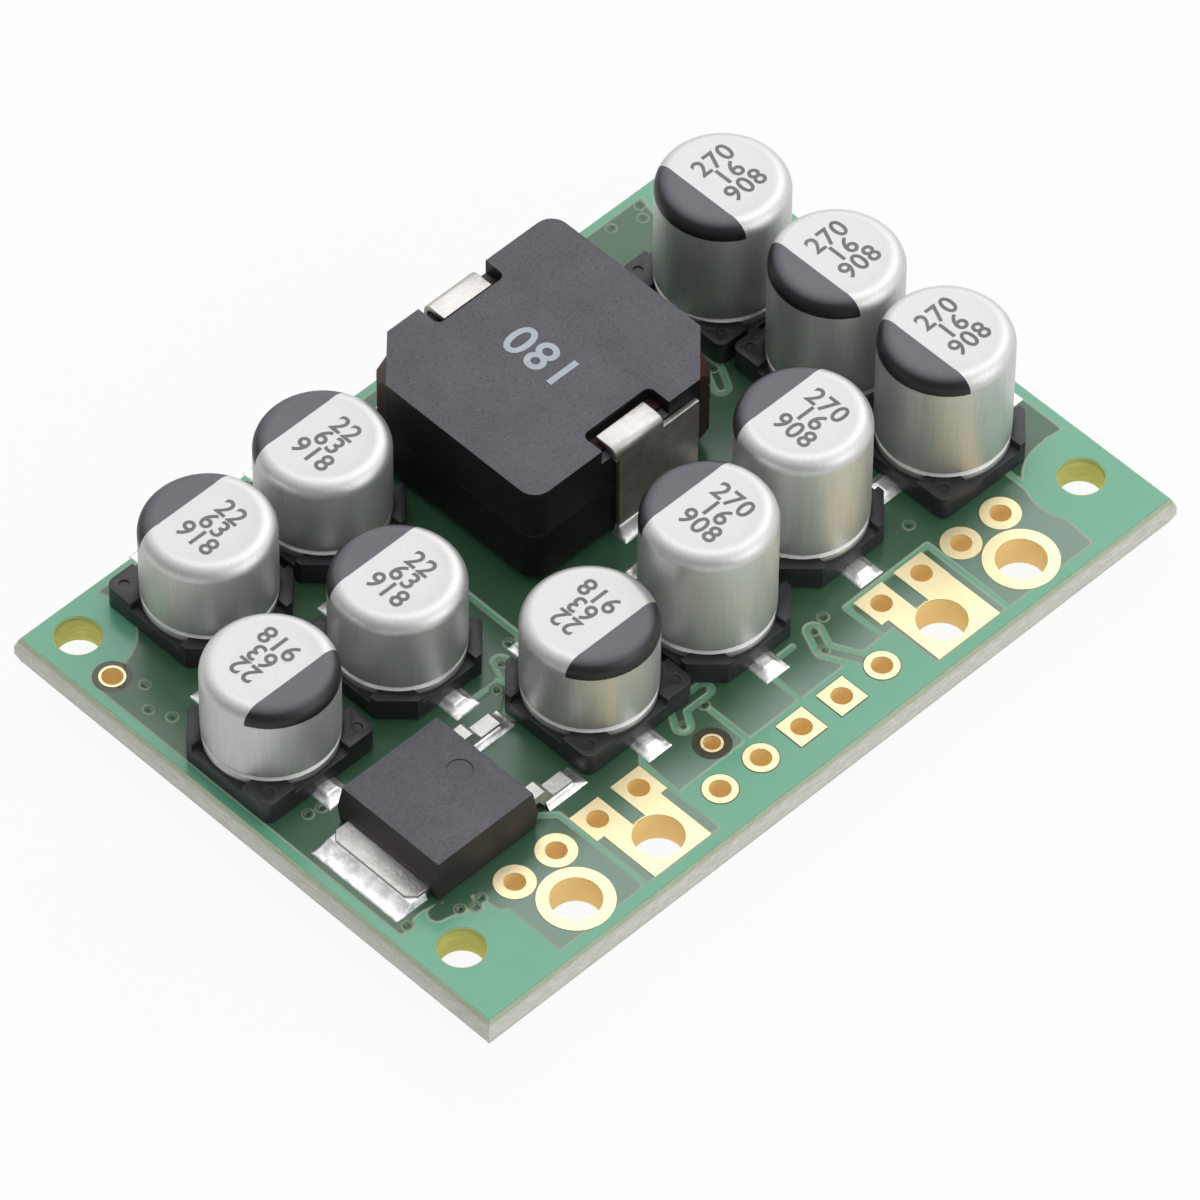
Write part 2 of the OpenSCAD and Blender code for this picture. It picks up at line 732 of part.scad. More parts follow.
module transistor_solder() {
    color("gainsboro") translate([body_x, body_y, top_z]) {
        translate([-body_l / 2 - sink_out - sink_land_out, -sink_w / 2 - 0.15, 0])
            cube([sink_land_out + sink_out + sink_in - 0.5, sink_w + 0.3, solder_t]);
        for (side = [-1, 1]) translate([leg_foot, side * leg_pitch - leg_w / 2 - leg_land_side, 0])
            cube([body_l / 2 + leg_out + 0.8 - leg_foot, leg_w + 2 * leg_land_side, solder_t]);
    }
}

// ---- Underside: drawn on the lower face, hanging down from it ----

controller_xy = [-15.5, 2.5];
SWITCHES = [[-7.2, 9.2], [-7.2, 1.6], [0.6, 9.2], [0.6, 1.6]];
CERAMICS = [[-14.5, 10.5], [-14.5, -5.5], [8.5, 9.5], [8.5, 5.5], [8.5, 1.5], [14, 9.5],
            [14, 5.5], [14, 1.5]];
CHIPS = [[-19.8, 5.5], [-19.8, 3.5], [-19.8, 1.5], [-19.8, -0.5], [-15.5, -1.6], [-12, -1.6],
         [-9, -5.5], [-6, -5.5], [2, -5.5], [5, -5.5]];

module below(places) {
    for (p = places) translate([p[0], p[1], under_z]) mirror([0, 0, 1]) children();
}

module controller() {
    color("#26262a") below([controller_xy]) translate([-controller_w / 2, -controller_w / 2, solder_t])
        cube([controller_w, controller_w, controller_h - solder_t]);
}

module controller_pins() {
    step = controller_w / 9;
    color("silver") below([controller_xy]) for (turn = [0:90:270]) rotate([0, 0, turn]) for (i = [-3:3])
        translate([i * step - 0.14, controller_w / 2 - 0.45, 0]) cube([0.28, 0.75, solder_t]);
}

module switch_bodies() {
    color("#26262a") below(SWITCHES) translate([0, 0, solder_t])
        moulded_block(switch_w, switch_l - 0.3, under_h + copper_t - solder_t, 0.1, 0.4);
}

module switch_legs() {
    color("silver") below(SWITCHES) {
        for (i = [-1.5:1.5]) translate([i * 1.27 - switch_leg_w / 2, -switch_l / 2 - 0.1, 0])
            cube([switch_leg_w, 0.9, solder_t]);
        translate([-2.1, -0.9, 0]) cube([4.2, switch_l / 2 + 1, solder_t]);
    }
}

module ceramic_bodies() {
    color("#8a6f55") below(CERAMICS) translate([-ceramic_l / 2 + chip_end, -ceramic_w / 2 + 0.03, solder_t])
        cube([ceramic_l - 2 * chip_end, ceramic_w - 0.06, under_h + copper_t - solder_t - 0.03]);
}

module ceramic_ends() {
    color("silver") below(CERAMICS) for (turn = [0, 180]) rotate([0, 0, turn])
        translate([-ceramic_l / 2, -ceramic_w / 2, 0]) cube([chip_end, ceramic_w, under_h + copper_t]);
}

module chip_bodies() {
    color("#1e1e22") below(CHIPS) translate([-chip_l / 2 + chip_end, -chip_w / 2, solder_t])
        cube([chip_l - 2 * chip_end, chip_w, chip_h - solder_t]);
}

module chip_ends() {
    color("silver") below(CHIPS) for (turn = [0, 180]) rotate([0, 0, turn])
        translate([-chip_l / 2, -chip_w / 2, 0]) cube([chip_end, chip_w, chip_h]);
}

circuit_board();
ground_pads();
input_pad();
output_pad();
header_pads();
probe_pads();
short_can(1);  // short_can_1
short_can(2);  // short_can_2
short_can(3);  // short_can_3
short_can(4);  // short_can_4
short_can(5);  // short_can_5
short_base(1);  // short_base_1
short_base(2);  // short_base_2
short_base(3);  // short_base_3
short_base(4);  // short_base_4
short_base(5);  // short_base_5
short_leads(1);  // short_leads_1
short_leads(2);  // short_leads_2
short_leads(3);  // short_leads_3
short_leads(4);  // short_leads_4
short_leads(5);  // short_leads_5
tall_can(1);  // tall_can_1
tall_can(2);  // tall_can_2
tall_can(3);  // tall_can_3
tall_can(4);  // tall_can_4
tall_can(5);  // tall_can_5
tall_base(1);  // tall_base_1
tall_base(2);  // tall_base_2
tall_base(3);  // tall_base_3
tall_base(4);  // tall_base_4
tall_base(5);  // tall_base_5
tall_leads(1);  // tall_leads_1
tall_leads(2);  // tall_leads_2
tall_leads(3);  // tall_leads_3
tall_leads(4);  // tall_leads_4
tall_leads(5);  // tall_leads_5
capacitor_solder();
core_lower();
core_upper();
winding();
front_terminal();
back_terminal();
inductor_solder();
transistor_body();
transistor_tab();
transistor_leads();
transistor_solder();
controller();
controller_pins();
switch_bodies();
switch_legs();
ceramic_bodies();
ceramic_ends();
chip_bodies();
chip_ends();
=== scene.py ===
"""Looks of the buck converter module: finishes, printed board, cans, solder and studio.

Sizes are in millimetres inside the classes and become metres where a mesh is made.
"""
from __future__ import annotations

import json
import logging
import math
from dataclasses import dataclass, field
from enum import Enum

import bmesh
import bpy
import numpy as np
from mathutils import Matrix, Vector


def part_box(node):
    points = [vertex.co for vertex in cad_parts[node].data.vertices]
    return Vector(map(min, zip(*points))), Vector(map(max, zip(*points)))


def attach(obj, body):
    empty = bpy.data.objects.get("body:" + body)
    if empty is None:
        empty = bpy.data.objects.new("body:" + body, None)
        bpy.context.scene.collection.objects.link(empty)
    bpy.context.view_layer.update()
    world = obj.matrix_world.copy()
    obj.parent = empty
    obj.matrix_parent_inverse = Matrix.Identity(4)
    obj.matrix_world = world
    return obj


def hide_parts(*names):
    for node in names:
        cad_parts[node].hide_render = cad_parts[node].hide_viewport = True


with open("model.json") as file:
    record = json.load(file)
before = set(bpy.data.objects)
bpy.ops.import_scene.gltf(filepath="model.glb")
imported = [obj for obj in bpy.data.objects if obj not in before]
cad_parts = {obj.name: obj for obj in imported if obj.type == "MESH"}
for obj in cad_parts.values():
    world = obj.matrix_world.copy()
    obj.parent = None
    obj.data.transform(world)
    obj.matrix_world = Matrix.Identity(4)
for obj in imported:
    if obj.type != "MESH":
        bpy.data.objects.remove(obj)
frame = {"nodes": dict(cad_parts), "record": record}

LOG = logging.getLogger("buck_converter_module")

# One millimetre in metres, and one metre in millimetres.
MM = 0.001
METRE = 1000.0
# Height of the board's upper face.
BOARD_TOP = round(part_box("circuit_board")[1].z / MM, 3)
# How far a print stands above the face round it.
INK_LIFT = 0.012
WHITE = (1.0, 1.0, 1.0)
# Points closer than this, in metres, are one point.
WELD = 0.000002
# Faces that turn less than the first angle are one face; edges that turn more than the
# second are rounded.
FLAT_ANGLE = math.radians(0.5)
SHARP_ANGLE = math.radians(32)

Colour = tuple[float, float, float]
Point = tuple[float, float]
Path = tuple[Point, ...]
Socket = bpy.types.NodeSocket
Value = Socket | float | tuple[float, ...]


class Side(Enum):
    """The face of the board that a sheet of solder mask lies on, with the sign of its normal."""

    TOP = 1.0
    BOTTOM = -1.0


class Turn(Enum):
    """Where the negative side of a can points, as degrees about +Z from -Y."""

    FRONT = 0
    LEFT = -90
    BACK = 180


class Mix(Enum):
    """What a Mix node works on: its data type, the sockets of its two values, its output."""

    NUMBER = ("FLOAT", 2, 3, 0)
    COLOUR = ("RGBA", 6, 7, 2)


# ---------------------------------------------------------------- places and surfaces


def hole_places(*patterns: str) -> list[Point]:
    """Middles of the holes that the record's bolt patterns state.

    Each hole stands half a spacing to either side of its pattern's middle.

    Args:
        *patterns: Names of the patterns.

    Returns:
        One place for each hole, in millimetres.
    """
    places = []
    for mount in frame["record"]["mounts"]:
        if mount["name"] in patterns:
            x, y = (METRE * part for part in mount["pos_m"][:2])
            half_x = mount["dims"]["spacing_x_mm"] / 2
            half_y = mount["dims"].get("spacing_y_mm", 0.0) / 2
            places += [(round(x + sign_x * half_x, 4), round(y + sign_y * half_y, 4))
                       for sign_x in (-1, 1) for sign_y in ((-1, 1) if half_y else (0,))]
    return places


def box_mm(node: str) -> tuple[np.ndarray, np.ndarray]:
    """A node's lowest and highest corners, in millimetres."""
    low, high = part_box(node)
    return np.array(low, float) / MM, np.array(high, float) / MM


def new_piece(name: str, mesh: bpy.types.Mesh, finish: bpy.types.Material,
              nodes: tuple[str, ...] = ()) -> bpy.types.Object:
    """Links a finished mesh to the scene as a piece of the part.

    Args:
        name: Name of the piece.
        mesh: Its mesh, in metres, in the part's own frame.
        finish: The material that it wears.
        nodes: The CAD nodes that it stands for.

    Returns:
        The new object.
    """
    mesh.materials.clear()
    mesh.materials.append(finish)
    piece = bpy.data.objects.new(name, mesh)
    bpy.context.scene.collection.objects.link(piece)
    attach(piece, "root")
    if nodes:
        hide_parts(*nodes)
    LOG.info("%s: %d faces in %s", name, len(mesh.polygons), finish.name)
    return piece


def dress(node: str, finish: bpy.types.Material) -> None:
    """Gives a CAD node that stays its material.

    Args:
        node: The CAD node.
        finish: The material that it wears.
    """
    target = frame["nodes"][node]
    target.data.materials.clear()
    target.data.materials.append(finish)
    LOG.info("%s wears %s", node, finish.name)


def grid_faces(rows: int, columns: int, closed: bool = False) -> np.ndarray:
    """Quads of a grid of points that is stored row by row.

    Args:
        rows: Number of rows.
        columns: Number of points in a row.
        closed: Whether the last point of a row joins its first.

    Returns:
        One row of four indices for each quad.
    """
    across = columns if closed else columns - 1
    row, column = np.meshgrid(np.arange(rows - 1), np.arange(across), indexing="ij")
    after = (column + 1) % columns
    corners = [row * columns + column, row * columns + after,
               (row + 1) * columns + after, (row + 1) * columns + column]
    return np.stack(corners, axis=-1).reshape(-1, 4)


def make_mesh(name: str, points: np.ndarray, faces: list[np.ndarray],
              fields: dict[str, np.ndarray] | None = None) -> bpy.types.Mesh:
    """Puts points and faces into a smooth mesh as whole arrays.

    Args:
        name: Name of the mesh.
        points: Points in millimetres, one row each.
        faces: Arrays of faces, each with a fixed number of corners.
        fields: Named values of the points: one number or three for each.

    Returns:
        The mesh, in metres.
    """
    corners = np.concatenate([f.ravel() for f in faces]).astype(np.int32)
    sizes = np.concatenate([np.full(len(f), f.shape[1]) for f in faces]).astype(np.int32)
    starts = np.concatenate([[0], np.cumsum(sizes)[:-1]]).astype(np.int32)
    mesh = bpy.data.meshes.new(name)
    mesh.vertices.add(len(points))
    mesh.vertices.foreach_set("co", (points * MM).astype(np.float32).ravel())
    mesh.loops.add(len(corners))
    mesh.loops.foreach_set("vertex_index", corners)
    mesh.polygons.add(len(sizes))
    mesh.polygons.foreach_set("loop_start", starts)
    mesh.polygons.foreach_set("use_smooth", np.full(len(sizes), True))
    for key, values in (fields or {}).items():
        kind, part = ("FLOAT_VECTOR", "vector") if values.ndim == 2 else ("FLOAT", "value")
        carried = mesh.attributes.new(key, kind, "POINT")
        carried.data.foreach_set(part, values.astype(np.float32).ravel())
    mesh.update(calc_edges=True)
    mesh.validate()
    return mesh


def arc(centre: Point, radius: float, start: float, end: float, steps: int) -> np.ndarray:
    """Points on an arc: the centre plus the radius along a turning direction.

    Args:
        centre: Middle of the arc.
        radius: Its radius.
        start: First angle in degrees.
        end: Last angle in degrees.
        steps: Number of stretches.

    Returns:
        One row of two numbers for each point.
    """
    angle = np.radians(np.linspace(start, end, steps + 1))
    return np.asarray(centre) + radius * np.stack([np.cos(angle), np.sin(angle)], axis=1)


def revolve(profile: np.ndarray, sides: int) -> tuple[np.ndarray, list[np.ndarray]]:
    """A surface of revolution about Z: each point of the profile is carried round a circle.

    Args:
        profile: Rows of radius and height, from the lower pole to the upper pole.
        sides: Number of steps round the axis.

    Returns:
        The points, with one point at each pole, and the arrays of faces.
    """
    angle = np.linspace(0, 2 * math.pi, sides, endpoint=False)
    radius, height = profile[1:-1, 0:1], profile[1:-1, 1:2]
    rings = np.stack([radius * np.cos(angle), radius * np.sin(angle),
                      height + 0 * angle], axis=-1).reshape(-1, 3)
    poles = np.array([[0, 0, profile[0, 1]], [0, 0, profile[-1, 1]]])
    count = len(radius)
    step = np.arange(sides)
    after = (step + 1) % sides
    low, high = len(rings), len(rings) + 1
    last = (count - 1) * sides
    return np.concatenate([rings, poles]), [
        grid_faces(count, sides, closed=True),
        np.stack([after, step, np.full(sides, low)], axis=1),
        np.stack([last + step, last + after, np.full(sides, high)], axis=1)]


def soften(name: str, node: str, finish: bpy.types.Material, width: float,
           segments: int = 2) -> None:
    """Replaces a CAD node by a copy of it with its sharp edges rounded off.

    Args:
        name: Name of the new piece.
        node: The CAD node.
        finish: The material that it wears.
        width: Width of the rounding in millimetres.
        segments: Number of faces across the rounding.
    """
    mesh = frame["nodes"][node].data.copy()
    shape = bmesh.new()
    shape.from_mesh(mesh)
    bmesh.ops.remove_doubles(shape, verts=shape.verts, dist=WELD)
    bmesh.ops.dissolve_limit(shape, angle_limit=FLAT_ANGLE, verts=shape.verts, edges=shape.edges)
    for face in shape.faces:
        face.smooth = True
    shape.to_mesh(mesh)
    shape.free()
    piece = new_piece(name, mesh, finish, (node,))
    bevel = piece.modifiers.new("edges", "BEVEL")
    bevel.width = width * MM
    bevel.segments = segments
    bevel.limit_method = "ANGLE"
    bevel.angle_limit = SHARP_ANGLE
    bevel.harden_normals = True
    bevel.use_clamp_overlap = True


def numerals(text: str, size: float, place: Point, lift: float) -> bpy.types.Mesh:
    """A line of plain numbers as a flat mesh, centred on a place.

    Args:
        text: The numbers.
        size: Height of the line in millimetres.
        place: Middle of the line in millimetres.
        lift: Height above the surface in millimetres.

    Returns:
        The mesh, in metres, about the origin.
    """
    curve = bpy.data.curves.new("numbers", "FONT")
    curve.body = text
    curve.size = size * MM
    curve.align_x = "CENTER"
    curve.align_y = "CENTER"
    curve.space_character = 1.08
    curve.resolution_u = 4
    curve.offset = 0.015 * size * MM
    carrier = bpy.data.objects.new("numbers", curve)
    bpy.context.scene.collection.objects.link(carrier)
    bpy.context.view_layer.update()
    drawn = carrier.evaluated_get(bpy.context.evaluated_depsgraph_get())
    mesh = bpy.data.meshes.new_from_object(drawn)
    bpy.data.objects.remove(carrier)
    bpy.data.curves.remove(curve)
    mesh.transform(Matrix.Translation((place[0] * MM, place[1] * MM, lift * MM)))
    return mesh


def joined(name: str, parts: list[bpy.types.Mesh]) -> bpy.types.Mesh:
    """One mesh of several, each left where it is.

    Args:
        name: Name of the new mesh.
        parts: The meshes, which are used up.

    Returns:
        The new mesh.
    """
    shape = bmesh.new()
    for part in parts:
        shape.from_mesh(part)
        bpy.data.meshes.remove(part)
    mesh = bpy.data.meshes.new(name)
    shape.to_mesh(mesh)
    shape.free()
    return mesh


# ---------------------------------------------------------------- shader trees


def shade(colour: Colour, share: float) -> Colour:
    """The colour with each of its parts multiplied by a share."""
    return tuple(part * share for part in colour)


class Tree:
    """Short calls that add and join the nodes of a material or a node group."""

    def __init__(self, tree: bpy.types.NodeTree) -> None:
        """Keeps the tree that the calls work on."""
        self.tree = tree

    def add(self, kind: str, inputs: dict[str | int, Value] | None = None,
            **settings: str | bpy.types.NodeTree) -> bpy.types.Node:
        """Adds a node.

        Args:
            kind: Blender's name of the node.
            inputs: What each input is fed with, a socket or a value.
            **settings: The node's own settings.

        Returns:
            The node.
        """
        node = self.tree.nodes.new(kind)
        for key, value in settings.items():
            setattr(node, key, value)
        for key, value in (inputs or {}).items():
            self.feed(node.inputs[key], value)
        return node

    def feed(self, socket: Socket, value: Value) -> None:
        """Joins a socket to an input, or sets the input's value.

        Args:
            socket: The input.
            value: A socket, a number, a colour or a vector.
        """
        if isinstance(value, Socket):
            self.tree.links.new(value, socket)
        elif socket.type == "RGBA" and len(value) == 3:
            socket.default_value = (*value, 1.0)
        else:
            socket.default_value = value

    def maths(self, operation: str, *values: Value) -> Socket:
        """Result of one Math node."""
        return self.add("ShaderNodeMath", dict(enumerate(values)), operation=operation).outputs[0]

    def times(self, first: Value, second: Value) -> Socket:
        """Product of two numbers."""
        return self.maths("MULTIPLY", first, second)

    def less(self, first: Value, second: Value) -> Socket:
        """The first number less the second."""
        return self.maths("SUBTRACT", first, second)

    def _mix(self, kind: Mix, factor: Value, first: Value, second: Value) -> Socket:
        """Value between two values.

        Args:
            kind: What the values are.
            factor: 0 for the first value, 1 for the second.
            first: The first value.
            second: The second value.

        Returns:
            The result's socket.
        """
        data_type, low, high, result = kind.value
        node = self.add("ShaderNodeMix", {0: factor, low: first, high: second}, data_type=data_type)
        return node.outputs[result]

    def blend(self, factor: Value, first: Value, second: Value) -> Socket:
        """Colour between two colours."""
        return self._mix(Mix.COLOUR, factor, first, second)

    def between(self, factor: Value, first: Value, second: Value) -> Socket:
        """Number between two numbers."""
        return self._mix(Mix.NUMBER, factor, first, second)

    def mixed_shader(self, factor: Value, first: bpy.types.Node,
                     second: bpy.types.Node) -> bpy.types.Node:
        """Shader between the shaders of two nodes."""
        return self.add("ShaderNodeMixShader", {0: factor, 1: first.outputs[0], 2: second.outputs[0]})

    def step(self, value: Value, low: float, high: float) -> Socket:
        """Smooth step from 0 at low to 1 at high, where high may be the lesser of the two.

        Args:
            value: The number that is looked at.
            low: Where the step starts.
            high: Where it ends.

        Returns:
            The result's socket.
        """
        node = self.add("ShaderNodeMapRange", {"Value": value, "From Min": low, "From Max": high},
                        interpolation_type="SMOOTHSTEP")
        return node.outputs["Result"]

    def group(self, tree: bpy.types.NodeTree, inputs: dict[str | int, Value]) -> bpy.types.Node:
        """Places a node group and feeds its inputs."""
        return self.add("ShaderNodeGroup", inputs, node_tree=tree)

    def millimetres(self) -> Socket:
        """The point's place in millimetres, from Object coordinates."""
        place = self.add("ShaderNodeTexCoord").outputs["Object"]
        return self.add("ShaderNodeVectorMath", {0: place, 3: METRE}, operation="SCALE").outputs[0]

    def axes(self, vector: Socket) -> tuple[Socket, Socket, Socket]:
        """The three parts of a vector."""
        node = self.add("ShaderNodeSeparateXYZ", {0: vector})
        return node.outputs[0], node.outputs[1], node.outputs[2]

    def facing(self) -> Socket:
        """How far the surface looks up, from -1 to 1."""
        return self.axes(self.add("ShaderNodeNewGeometry").outputs["Normal"])[2]

    def attribute(self, name: str, output: str = "Fac") -> Socket:
        """A value that the mesh carries."""
        return self.add("ShaderNodeAttribute", attribute_name=name).outputs[output]

    def noise(self, vector: Socket, scale: Value, detail: float = 3.0, rough: float = 0.55) -> Socket:
        """Noise from 0 to 1.

        Args:
            vector: The place, in millimetres.
            scale: Cells for each millimetre.
            detail: Number of finer layers.
            rough: Weight of the finer layers.

        Returns:
            The result's socket.
        """
        node = self.add("ShaderNodeTexNoise", {"Vector": vector, "Scale": scale, "Detail": detail,
                                               "Roughness": rough})
        return node.outputs["Fac"]

    def stretched(self, vector: Socket, scale: tuple[float, float, float]) -> Socket:
        """The vector with each part scaled."""
        return self.add("ShaderNodeVectorMath", {0: vector, 1: scale}, operation="MULTIPLY").outputs[0]

    def bump(self, height: Socket, depth: float, strength: float = 1.0,
             normal: Socket | None = None) -> Socket:
        """Normal of a relief.

        Args:
            height: The relief, from 0 to 1.
            depth: Its full height in millimetres.
            strength: Share of the relief that is used.
            normal: Normal of a relief that this one lies on.

        Returns:
            The result's socket.
        """
        given = {"Height": height, "Distance": depth * MM, "Strength": strength}
        if normal is not None:
            given["Normal"] = normal
        return self.add("ShaderNodeBump", given).outputs["Normal"]


class Recipe(Tree):
    """A material with one Principled shader and its node tree."""

    def __init__(self, name: str) -> None:
        """Makes the material, with nothing fed to its shader.

        Args:
            name: Name of the material.
        """
        self.material = bpy.data.materials.new(name)
        self.material.use_nodes = True
        super().__init__(self.material.node_tree)
        self.tree.nodes.clear()
        self.shader = self.add("ShaderNodeBsdfPrincipled")
        self.output = self.add("ShaderNodeOutputMaterial", {"Surface": self.shader.outputs[0]})

    def surface(self, **inputs: Value) -> bpy.types.Material:
        """Feeds the shader, with the inputs' names in small letters and low lines.

        Args:
            **inputs: What each input is fed with.

        Returns:
            The material.
        """
        for key, value in inputs.items():
            self.feed(self.shader.inputs[key.replace("_", " ").title().replace("Ior", "IOR")], value)
        return self.material


class Effects:
    """Node groups that several finishes share, each built once and placed with its own values."""

    def __init__(self) -> None:
        """Builds each group."""
        self._grain = self._make_grain()
        self._specks = self._make_specks()
        self._smudge = self._make_smudge()

    def grain(self, tree: Tree, place: Socket, cells: float, depth: float) -> tuple[Socket, Socket]:
        """Places fine matt grain in a material.

        Args:
            tree: The material's tree.
            place: The place, in millimetres.
            cells: Cells of grain for each millimetre.
            depth: Depth of the grain in millimetres.

        Returns:
            Its mask, and the normal of its relief.
        """
        node = tree.group(self._grain, {"Vector": place, "Cells": cells, "Depth": depth})
        return node.outputs["Mask"], node.outputs["Normal"]

    def specks(self, tree: Tree, place: Socket, cells: float, size: float, share: float) -> Socket:
        """Places scattered specks in a material.

        Args:
            tree: The material's tree.
            place: The place, in millimetres.
            cells: Cells for each millimetre.
            size: Radius of a speck, as a share of a cell.
            share: Share of the cells that hold one.

        Returns:
            Their mask.
        """
        given = {"Vector": place, "Cells": cells, "Size": size, "Share": share}
        return tree.group(self._specks, given).outputs["Mask"]

    def smudge(self, tree: Tree, place: Socket, cells: float, contrast: float) -> Socket:
        """Places a broad uneven cloud in a material.

        Args:
            tree: The material's tree.
            place: The place, in millimetres.
            cells: Cells for each millimetre.
            contrast: How far the mask leaves its middle, one half.

        Returns:
            Its mask.
        """
        given = {"Vector": place, "Cells": cells, "Contrast": contrast}
        return tree.group(self._smudge, given).outputs["Mask"]

    @staticmethod
    def _group(name: str, inputs: dict[str, float],
               outputs: dict[str, str]) -> tuple[Tree, dict[str, Socket], dict[str, Socket]]:
        """Makes an empty group.

        Args:
            name: Name of the group.
            inputs: Named number inputs and their first values; all have a Vector input.
            outputs: Named outputs and their socket types.

        Returns:
            The tree, its inputs' sockets and its outputs' sockets.
        """
        group = bpy.data.node_groups.new(name, "ShaderNodeTree")
        group.interface.new_socket("Vector", in_out="INPUT", socket_type="NodeSocketVector")
        for key, value in inputs.items():
            number = group.interface.new_socket(key, in_out="INPUT", socket_type="NodeSocketFloat")
            number.default_value = value
        for key, kind in outputs.items():
            group.interface.new_socket(key, in_out="OUTPUT", socket_type=kind)
        tree = Tree(group)
        source = tree.add("NodeGroupInput")
        sink = tree.add("NodeGroupOutput")
        return tree, {s.name: s for s in source.outputs}, {s.name: s for s in sink.inputs}

    def _make_grain(self) -> bpy.types.NodeTree:
        """Fine matt grain: a noise as the mask, and the normal of the same noise as a relief.

        Returns:
            The group's tree.
        """
        tree, given, result = self._group(
            "grain", {"Cells": 8.0, "Depth": 0.01},
            {"Mask": "NodeSocketFloat", "Normal": "NodeSocketVector"})
        noise = tree.noise(given["Vector"], given["Cells"], 4.0, 0.65)
        relief = tree.add("ShaderNodeBump", {"Height": noise, "Distance": tree.times(given["Depth"], MM)})
        tree.feed(result["Mask"], noise)
        tree.feed(result["Normal"], relief.outputs["Normal"])
        return tree.tree

    def _make_specks(self) -> bpy.types.NodeTree:
        """Scattered specks: a mask that is 1 inside small cells chosen by chance.

        Returns:
            The group's tree.
        """
        tree, given, result = self._group(
            "specks", {"Cells": 9.0, "Size": 0.2, "Share": 0.3}, {"Mask": "NodeSocketFloat"})
        cells = tree.add("ShaderNodeTexVoronoi", {"Vector": given["Vector"], "Scale": given["Cells"]})
        inside = tree.maths("LESS_THAN", cells.outputs["Distance"], given["Size"])
        chosen = tree.maths("LESS_THAN", tree.axes(cells.outputs["Color"])[0], given["Share"])
        tree.feed(result["Mask"], tree.times(inside, chosen))
        return tree.tree

    def _make_smudge(self) -> bpy.types.NodeTree:
        """Broad uneven cloud: the small change of tone that handling and moulding leave.

        Returns:
            The group's tree.
        """
        tree, given, result = self._group(
            "smudge", {"Cells": 0.6, "Contrast": 0.5}, {"Mask": "NodeSocketFloat"})
        noise = tree.noise(given["Vector"], given["Cells"], 5.0, 0.6)
        spread = tree.maths("MULTIPLY_ADD", tree.less(noise, 0.5), given["Contrast"], 0.5)
        tree.feed(result["Mask"], spread)
        return tree.tree


# ---------------------------------------------------------------- finishes


@dataclass(frozen=True)
class MaskFinish:
    """Green solder mask over laminate and copper.

    Attributes:
        bare: Colour over bare laminate.
        copper_and_shade: Colour over copper, darkened with painted shade for the shadow between the tall
            parts.
        near_pads: Colour over the copper along the row of pads.
        pads_behind: Y behind which the copper has its darker tone with painted shade.
        pads_from: Y from which it has the colour near the pads.
        rim: Colour of the mask where it climbs over an edge of copper.
        opening: Colour of the laminate in the mask's openings.
        via_hole_shade: Painted shade in the middle of a via, where its hole is.
        ring: Radius of a via's rim.
        relief: Height of the copper under the mask.
        peel: Depth of the mask's own waves.
        roughness: Roughness of the whole.
    """

    bare: Colour = (0.150, 0.450, 0.290)
    copper_and_shade: Colour = (0.050, 0.130, 0.070)
    near_pads: Colour = (0.185, 0.300, 0.230)
    pads_behind: float = -9.4
    pads_from: float = -11.6
    rim: Colour = (0.40, 0.42, 0.28)
    opening: Colour = (0.055, 0.05, 0.028)
    via_hole_shade: Colour = (0.008, 0.03, 0.02)
    ring: float = 0.29
    relief: float = 0.035
    peel: float = 0.006
    roughness: float = 0.22

    def _tone(self, recipe: Recipe, place: Socket, cloud: Socket, copper: Socket) -> Socket:
        """Green of the mask, pale over laminate and deep over copper, with painted shade on the copper
        behind the row of pads.

        Args:
            recipe: The material.
            place: The place, in millimetres.
            cloud: Mask of the broad change of tone.
            copper: Distance into the copper.

        Returns:
            The colour's socket.
        """
        weave = recipe.times(recipe.noise(place, 5.0, 2.0), 0.12)
        bare = recipe.blend(cloud, shade(self.bare, 0.88), shade(self.bare, 1.12))
        bare = recipe.blend(weave, bare, shade(self.bare, 0.7))
        # Behind the row of pads the copper's tone is darkened with painted shade for the shadow between
        # the tall parts; along the row it is paler.
        pour = recipe.blend(cloud, shade(self.copper_and_shade, 0.85), shade(self.copper_and_shade, 1.25))
        along = recipe.step(recipe.axes(place)[1], self.pads_behind, self.pads_from)
        pour = recipe.blend(along, pour, self.near_pads)
        return recipe.blend(recipe.step(copper, -0.025, 0.025), bare, pour)

    def make(self, effects: Effects) -> bpy.types.Material:
        """Builds the material, which reads the distances that the sheet carries.

        Args:
            effects: The shared node groups.

        Returns:
            The material.
        """
        recipe = Recipe("solder_mask")
        place = recipe.millimetres()
        copper = recipe.attribute("copper")
        via = recipe.attribute("via")
        cloud = effects.smudge(recipe, place, 0.35, 0.8)
        colour = self._tone(recipe, place, cloud, copper)
        edge = recipe.step(recipe.maths("ABSOLUTE", copper), 0.08, 0.02)
        colour = recipe.blend(recipe.times(edge, 0.65), colour, self.rim)
        ring = recipe.step(recipe.maths("ABSOLUTE", recipe.less(via, self.ring)), 0.07, 0.02)
        colour = recipe.blend(recipe.times(ring, 0.45), colour, self.rim)
        # Painted shade of each via's hole: a dark disc in its middle.
        colour = recipe.blend(recipe.step(via, 0.14, 0.07), colour, self.via_hole_shade)
        opened = recipe.step(recipe.attribute("opening"), -0.02, 0.02)
        colour = recipe.blend(opened, colour, self.opening)
        land = recipe.times(recipe.step(via, 0.36, 0.26), 0.6)
        raised = recipe.maths("ADD", recipe.step(copper, -0.09, 0.09), land)
        raised = recipe.less(raised, recipe.step(via, 0.2, 0.08))
        normal = recipe.bump(recipe.noise(place, 1.3, 2.0), self.peel, 0.5)
        normal = recipe.bump(raised, self.relief, 1.0, normal)
        return recipe.surface(base_color=colour, roughness=self.roughness, normal=normal,
                              specular_ior_level=0.55)


